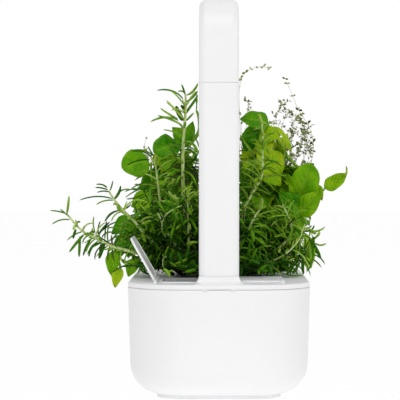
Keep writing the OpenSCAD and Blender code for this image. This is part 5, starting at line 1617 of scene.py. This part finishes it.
# Needles that stand out against the background: foot, tip, width, curl and tone
PLACED_NEEDLES: tuple[tuple[Point, Point, float, float, float], ...] = (
    ((-25.6, -57, 205.5), (-44.7, -62, 212.1), 2.5, 1.5, 0.5),
    ((-24.5, -57, 209.9), (-29.5, -60, 211.5), 1.9, 1.6, 0.5),
    ((-24.2, -57, 209.1), (-27, -56, 217.1), 1.5, 0.3, 0.45),
    ((-23.8, -57, 209.1), (-15.2, -52, 218.1), 2.4, -1.4, 0.65),
    ((-23.8, -57, 204.1), (-15.3, -54, 212.5), 2.4, -0.7, 0.5),
    ((-23.1, -57, 198.3), (-15.2, -54, 209.6), 2.4, -0.5, 0.5),
    ((-25.2, -57, 191.8), (-37.9, -66, 205.1), 4.1, 0.15, 0.95),
    ((-29.5, -58, 191.8), (-42.3, -64, 199.5), 3.2, -0.1, 0.8),
    ((-28.8, -58, 190.4), (-49.3, -66, 189.4), 2.9, 1.3, 0.62),
    ((-25.9, -57, 186.8), (-44.3, -66, 194.1), 3.4, 0.5, 0.7),
    ((-25.6, -57, 190.4), (-31, -58, 201.5), 4.3, -0.4, 0.42),
    ((-23.8, -57, 196.2), (-27.5, -52, 202.1), 3.2, 1.2, 0.3),
    ((-23.8, -57, 190.4), (-18.1, -54, 196.6), 2, 0.1, 0.6),
    ((-48.9, -41, 163.9), (-63.9, -48, 168.2), 1.7, 1.3, 0.5),
    ((-47.5, -40, 165.4), (-51.7, -44, 172.6), 1.2, -0.3, 0.5),
    ((-75.2, -75, 134.5), (-99, -80, 133.5), 1.5, 0.9, 0.4),
    ((-79.4, -76, 142.3), (-87, -80, 144.8), 1.3, 1.2, 0.4),
    ((-78.7, -76, 140.9), (-87.7, -79, 142.7), 1.1, 0.5, 0.4),
    ((-78, -76, 139.4), (-86.3, -79, 139.1), 1.2, 0.9, 0.4),
    ((-77.3, -76, 140.2), (-75.3, -74, 147.6), 1.2, -0.3, 0.5),
    ((-74.5, -75, 134.5), (-69.7, -78, 144.1), 3.0, -0.9, 0.3),
    ((-69.7, -73, 128), (-62.7, -70, 131.2), 1.7, -1.8, 0.3),
    ((-66.3, -70, 134.4), (-48.8, -62, 141.8), 1.6, -0.9, 0.4),
    ((-62.2, -66, 140.8), (-49.6, -60, 145.4), 1.3, -0.6, 0.5),
    ((-71.1, -73, 125.9), (-80.9, -80, 118.3), 2.2, 1.6, 0.3),
    ((-107.5, -80, 123.9), (-106, -80, 137), 1.8, -0.25, 0.75),
    ((-107.5, -80, 123.9), (-119.3, -82, 126.4), 1.1, 0.5, 0.6),
    ((-106.7, -80, 122.5), (-112.2, -82, 127.5), 1.1, 0.2, 0.6),
    ((-105.3, -80, 119.7), (-117.9, -82, 116.6), 1.5, 1.2, 0.6),
    ((-95.4, -80, 109.8), (-105.7, -84, 96.9), 2.6, 0.2, 0.5),
    ((-98.3, -80, 108.4), (-98.8, -82, 93.3), 2.0, 0.1, 0.5),
    ((-101.1, -80, 113.3), (-103, -82, 106.3), 2.0, 0.8, 0.4),
    ((-90.5, -80, 106.3), (-95.8, -84, 94.4), 2.0, 0.9, 0.4),
    ((-86.2, -80, 103.4), (-91.7, -83, 93.7), 2.2, 2.2, 0.35),
    ((-80.7, -79, 104.1), (-84.7, -82, 92.2), 3.0, 0.5, 0.3),
    ((-77.3, -76, 118.2), (-86.1, -82, 107), 1.9, 1.0, 0.3),
    ((-89.1, -80, 107.7), (-89.9, -78, 114), 1.2, 0.2, 0.5),
    ((-25, -134, 131), (-9, -148.8, 130.6), 1.5, 0.9, 0.45),
    ((-25, -132, 110), (-10, -148.4, 103), 1.5, 0.7, 0.4),
    ((59, -44, 112.9), (67.6, -46, 114.8), 1.2, -1.3, 0.5),
    ((65.4, -46, 105.7), (74.3, -50, 91.4), 2.6, -0.5, 0.45),
    ((60.1, -66, 115), (50.6, -70, 123.7), 1.6, 0.7, 0.6),
    ((59.4, -66, 89.3), (60.2, -70, 80.5), 2.2, 0.1, 0.45),
    ((57.9, -66, 89.3), (52, -70, 81), 2.2, -0.5, 0.45),
    ((31.2, -50, 145), (15.1, -62, 157.2), 1.2, 1.1, 0.78),
    ((28.2, -52, 140.6), (15, -64, 154.4), 1.1, 0.9, 0.72),
    ((30.5, -48, 149.3), (16.5, -60, 161.6), 1.1, 1, 0.8),
    ((26.8, -50, 141.4), (14.3, -64, 142.2), 0.9, 0.5, 0.6),
    ((19.4, -58, 129.2), (36.5, -66, 130), 1.3, 1.1, 0.62),
    ((23.8, -56, 132.8), (29.3, -66, 125.8), 1.1, 0.5, 0.7),
    ((51.8, -58, 121.3), (33.6, -68, 120.1), 1.4, 0.8, 0.74),
    ((17.2, -60, 125.6), (32.1, -70, 114.4), 1.2, 0.7, 0.5),
    ((25.7, -68, 96.5), (14.9, -78, 99.8), 1.1, 0.7, 0.72),
    ((25, -68, 96.5), (37.5, -78, 101.2), 1.2, 0.9, 0.85),
    ((25.7, -68, 96.5), (29.7, -80, 84.3), 1.6, 0.5, 0.62),
    ((25.7, -68, 97.2), (35.4, -78, 90.6), 1, 0.8, 0.66),
    ((44.3, -66, 92.9), (29, -78, 82.1), 2.3, -0.3, 0.5),
    ((53.3, -58, 114.8), (65.8, -66, 105.7), 1.6, 0.3, 0.62),
    ((60.5, -58, 111.2), (68.2, -62, 115.6), 0.7, -1.9, 0.3),
    ((64.8, -58, 106.1), (72.9, -66, 92.9), 2, 0.7, 0.42),
    ((58.4, -56, 113.3), (63.9, -62, 106.3), 1.4, 0.3, 0.7),
    ((56, -62, 91.9), (47.7, -72, 80.6), 2.6, -0.6, 0.45),
    ((47.8, -68, 89.4), (54.2, -70, 92.3), 1.6, 0.1, 0.97),
    ((36.4, -70, 86.6), (59.6, -76, 80.6), 1.3, -1.1, 0.5),
    ((37.8, -70, 86.6), (44, -76, 81.3), 1.1, 0.5, 0.88),
    ((31.3, -46, 156.6), (22.4, -54, 162.3), 1.5, 0.5, 0.75),
    ((32.1, -42, 169.7), (23.9, -50, 174.7), 1.5, 0.6, 0.7),
    ((32.1, -42, 169.7), (38.5, -48, 178.4), 1.5, 0.7, 0.7),
    ((31.2, -48, 153.7), (39.7, -56, 160.9), 1.3, 1.1, 0.55),
    ((31.3, -46, 162.4), (46.2, -54, 157.3), 0.9, 0.9, 0.5),
    ((32.6, -50, 146.4), (40.3, -58, 140.7), 1.1, 0.9, 0.7),
    ((21.6, -56, 133.5), (15, -64, 128.6), 1.2, 0.6, 0.5),
    ((15, -66, 115.7), (23.4, -74, 111.7), 1.4, 0.6, 0.62),
    ((16.4, -66, 107.9), (24.8, -76, 103.3), 1.6, 0.5, 0.55),
    ((32.2, -64, 107.8), (28.5, -70, 113.7), 1.1, 0.6, 0.5),
    ((33.7, -64, 101.4), (33.4, -72, 110.9), 1.1, 0.5, 0.55),
    ((48.8, -62, 104.9), (43.6, -66, 112.9), 1.1, 0.7, 0.7),
    ((48.1, -62, 100.6), (55, -68, 107.2), 1.1, 0.7, 0.65),
    ((36.4, -68, 88), (21.9, -80, 90), 1.4, 0.9, 0.45),
    ((-22.8, -72, 122.3), (-41.7, -80, 123.2), 1.4, 1, 0.62),
    ((-37.9, -115.8, 87), (-33, -124, 81.8), 2.8, 1.3, 0.85),
    ((-36, -121, 84), (-31.5, -122, 86.5), 2.2, 0.9, 0.75),
    ((-22.7, -74, 95.4), (-40.2, -84, 118.4), 2.1, -0.15, 0.34),
    ((-22.7, -74, 108.2), (-29, -80, 115.4), 1.3, 0.2, 0.66),
    ((-22, -74, 108.2), (-15.2, -80, 111.9), 1.2, 0.3, 0.5),
    ((-22.7, -74, 94), (-32.5, -80, 97.1), 1, 0.4, 0.5),
    ((-22.8, -72, 133.7), (-29, -78, 143), 1.3, 0.5, 0.62),
    ((-22.8, -72, 138.7), (-26.2, -76, 148), 1.4, 0.4, 0.8),
    ((-22.1, -72, 139.4), (-18.4, -76, 147.2), 1.4, 0.5, 0.75),
    ((-22.8, -72, 130.2), (-30.4, -80, 132.4), 1.4, 0.8, 0.5),
    ((-22.1, -72, 118.1), (-15.6, -78, 124.6), 1.4, 0.7, 0.45),
    ((-49.3, -50, 142.1), (-67.7, -58, 134.9), 1.4, 1, 0.4),
    ((-50, -50, 145.7), (-63.4, -57, 141.4), 1.2, 0.9, 0.42),
    ((-63.4, -70, 112.3), (-79.9, -80, 114), 1.4, 0.5, 0.7),
    ((-72.5, -74, 118.1), (-84.1, -80, 110.5), 1.4, 0.9, 0.35),
    ((-48.1, -42, 165.4), (-64.5, -50, 168.9), 1.5, 1.2, 0.55),
    ((-50.3, -42, 162.4), (-67.4, -50, 158), 1.1, 0.9, 0.3),
    ((-42.9, -46, 136.2), (-32.5, -54, 140.7), 1.2, 0.8, 0.6),
    ((-42.9, -46, 129.7), (-49.8, -54, 136.3), 1.3, 0.6, 0.6),
    ((-56.6, -64, 112.1), (-64.7, -74, 101.8), 1.4, 0.8, 0.5),
    ((-51.5, -66, 107.2), (-39.7, -76, 113.2), 1.3, 0.9, 0.6),
    ((-51.5, -66, 107.2), (-54.6, -76, 98.3), 1.6, 0.4, 0.5),
    ((-40.5, -74, 85.4), (-30.3, -82, 90.1), 1.1, 1, 0.7),
    ((-41.3, -70, 98.8), (-33.2, -80, 90), 1.1, 0.4, 0.8),
)

# Thick needles that bow to the side: foot, tip, width, curl, tone and the side that they face
SIDE_NEEDLES: tuple[tuple[Point, Point, float, float, float, float], ...] = (
    ((21.5, -62, 123.5), (22.8, -72, 104.5), 2.2, 0.5, 0.5, 1),
    ((19.3, -66, 92.9), (17.1, -74, 81.9), 2.3, 0.4, 0.36, -1),
    ((20, -66, 89.3), (22.8, -72, 81.8), 1.3, 0.3, 0.4, 1),
    ((64.7, -60, 106.2), (62.9, -66, 82.1), 1.9, 1.4, 0.42, 1),
    ((64.7, -59, 104), (65.9, -64, 86.3), 3.2, 0.5, 0.8, 1),
    ((58.1, -62, 102.7), (59.9, -70, 80.6), 2, 0.5, 0.3, 1),
    ((53.2, -60, 114.8), (50.8, -66, 100.7), 2.2, 0.5, 0.66, -1),
    ((56, -62, 104.9), (55, -68, 92.2), 1.7, 0.3, 0.6, -1),
    ((-22.1, -72, 93.1), (-21.3, -76, 80.6), 3.3, 0.2, 0.22, 1),
    ((-19.2, -70, 105.2), (-16.3, -76, 91.9), 2.7, 0.7, 0.4, 1),
    ((-20, -70, 130.8), (-19.9, -75, 122.4), 1.3, 0.3, 0.78, 1),
    ((-45.8, -66, 107.9), (-44.1, -72, 93.9), 2.3, 0.5, 0.42, 1),
    ((-29.1, -74, 89.7), (-30.3, -82, 80.6), 1.1, 0.9, 0.7, -1),
)


# ---- studio ----

@dataclass(frozen=True)
class Lamp:
    """Square soft lamp: name, place, spot that it points at and side in metres, level and full beam angle.

    The level is the light on a surface at the spot that faces the lamp, where 1 shows a colour as it is.
    """

    name: str
    place: Point
    aim: Point
    size: float
    level: float
    spread_deg: float = 180.0

    def build(self) -> None:
        """Makes the lamp. Its power is 4 pi times the distance squared times the level.

        A narrow beam of half angle a, in radians, needs only a^2 / 3 of that.
        """
        way = Vector(self.aim) - Vector(self.place)
        data = bpy.data.lights.new(self.name, "AREA")
        data.spread = math.radians(self.spread_deg)
        beam = 1.0 if self.spread_deg == 180 else (data.spread / 2) ** 2 / 3
        data.size, data.energy = self.size, 4 * math.pi * way.length_squared * self.level * beam
        made = linked(self.name, data)
        made.location = self.place
        made.rotation_euler = way.to_track_quat("-Z", "Y").to_euler()


@dataclass
class Studio:
    """White table and surround, soft lamps and the camera.

    The eye is in mm, and the focal length, the image and the axis's place in it are in pixels of the image.
    `far` is how far the camera sees, and `table` the table's side, in metres. `sky` and `bounce` are the
    strengths of the surround and of the table's glow as light. `glow_seen` and `glow_thrown` are the glow's
    shares of the table, where it is seen and for the light that it throws back.
    """

    eye: Point = (0.0, -1282.5, 151.5)
    focal_px: float = 1701.0
    image_px: float = 400.0
    axis_px: tuple[float, float] = (219.0, 175.0)
    sensor_mm: float = 36.0
    far: float = 50.0
    table: float = 12.0
    sky: float = 0.41
    bounce: float = 1.4
    glow_seen: float = 0.975
    glow_thrown: float = 0.3
    lamps: tuple[Lamp, ...] = (
        Lamp("key", (-0.2, -1.35, 1.9), (0, 0, 0.12), 1.3, 0.2),
        Lamp("strip_left", (-1.5, -0.75, 0.75), (0, 0, 0.15), 0.6, 0.02),
        Lamp("low_front", (0, -0.85, 0.03), (0, -0.15, 0.03), 0.5, 0.1),
        Lamp("base_front", (0, -0.95, 0.06), (0, -0.15, -0.01), 0.1, 0.1, 10),
        Lamp("strip_right", (1.5, -0.75, 0.75), (0, 0, 0.15), 0.6, 0.08),
        Lamp("top", (0.2, 0.5, 2.2), (0, 0, 0.12), 1.2, 0.06),
    )

    def camera(self) -> None:
        """Level camera on the part's long axis, shifted so that the axis falls at axis_px in the image."""
        data = bpy.data.cameras.new("camera")
        data.sensor_width = self.sensor_mm
        data.lens = self.focal_px * data.sensor_width / self.image_px
        data.shift_x = (self.image_px / 2 - self.axis_px[0]) / self.image_px
        data.shift_y = (self.axis_px[1] - self.image_px / 2) / self.image_px
        data.clip_end = self.far
        made = linked("camera", data)
        made.location = np.array(self.eye) * MM
        made.rotation_euler = (math.pi / 2, 0, 0)
        bpy.context.scene.camera = made

    def seen(self, tree: Tree) -> Socket:
        """One where the camera, a reflection or clear plastic sees the surround, else nought.

        Args:
            tree: Tree that gets the nodes.

        Returns:
            The number.
        """
        path = add(tree, "ShaderNodeLightPath")
        one = add(tree, "ShaderNodeMath", {"operation": "MAXIMUM"}, in0=path.outputs["Is Camera Ray"],
                  in1=path.outputs["Is Glossy Ray"]).outputs[0]
        return add(tree, "ShaderNodeMath", {"operation": "MAXIMUM"}, in0=one,
                   in1=path.outputs["Is Transmission Ray"]).outputs[0]

    def world(self) -> None:
        """Plain white surround: full white where it is seen, and the sky's strength as light."""
        world = bpy.data.worlds.new("surround")
        world.use_nodes = True
        tree = world.node_tree
        tree.nodes.clear()
        level = add(tree, "ShaderNodeMapRange", in0=self.seen(tree), in1=0.0, in2=1.0, in3=self.sky, in4=1.0)
        back = add(tree, "ShaderNodeBackground", Color=linear("#FFFFFF"), Strength=level.outputs[0])
        add(tree, "ShaderNodeOutputWorld", Surface=back.outputs[0])
        bpy.context.scene.world = world

    def floor(self) -> None:
        """Pale table: one square, matt white mixed with a plain glow, with the part's shadow left on it."""
        data = bpy.data.meshes.new("table_top")
        span = self.table / 2
        corners = [(-span, -span, 0), (span, -span, 0), (span, span, 0), (-span, span, 0)]
        data.from_pydata(corners, [], [(0, 1, 2, 3)])
        linked("table_top", data)
        material = bpy.data.materials.new("white_laminate")
        material.use_nodes = True
        material.cycles.emission_sampling = "NONE"
        tree = material.node_tree
        tree.nodes.clear()
        matt = add(tree, "ShaderNodeBsdfDiffuse", Color=linear("#FFFFFF"))
        level = add(tree, "ShaderNodeMapRange", in0=self.seen(tree), in1=0.0, in2=1.0, in3=self.bounce,
                    in4=1.0)
        glow = add(tree, "ShaderNodeEmission", Color=linear("#FFFFFF"), Strength=level.outputs[0])
        share = add(tree, "ShaderNodeMath", {"operation": "MULTIPLY_ADD"}, in0=self.seen(tree),
                    in1=self.glow_seen - self.glow_thrown, in2=self.glow_thrown).outputs[0]
        both = add(tree, "ShaderNodeMixShader", in0=share, in1=matt.outputs[0], in2=glow.outputs[0])
        add(tree, "ShaderNodeOutputMaterial", Surface=both.outputs[0])
        data.materials.append(material)

    def build(self) -> None:
        """Sets up camera, surround, table and lamps."""
        self.camera()
        self.world()
        self.floor()
        for lamp in self.lamps:
            lamp.build()
        bpy.context.scene.view_settings.view_transform = "Standard"


def main() -> None:
    """Builds the garden's pieces in order and reports each one."""
    logging.basicConfig(level=logging.INFO, format="%(name)s: %(message)s")
    Studio().build()
    pieces = Fittings().build()
    LOG.info("%d parts dressed", len(pieces))
    placed = tuple(Leaf(foot, tip, width, (0, -0.7, 1), curl, -0.15, tone)
                   for foot, tip, width, curl, tone in PLACED_NEEDLES)
    side = tuple(Leaf(foot, tip, width, (way, -0.9, 0), curl, -0.15, tone)
                 for foot, tip, width, curl, tone, way in SIDE_NEEDLES)
    rosemary = Rosemary("rosemary", "pod_front", Finish.rosemary_leaf, Finish.rosemary_stem, near=-150.5,
                        far=-7.0, seed=11, sprigs=SPRIGS, placed=placed, side=side)
    basil = Basil("basil", "pod_middle", Finish.basil_leaf, Finish.basil_stem, near=-3.0, far=68.0, seed=23)
    thyme = Thyme("thyme", "pod_rear", Finish.thyme_leaf, Finish.thyme_stem, near=71.0, far=149.0, seed=37)
    for maker in (Housing(), rosemary, basil, thyme):
        for piece in maker.build():
            piece.data.calc_loop_triangles()
            LOG.info("%s: %d triangles", piece.name, len(piece.data.loop_triangles))
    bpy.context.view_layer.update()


if __name__ == "__main__":
    main()
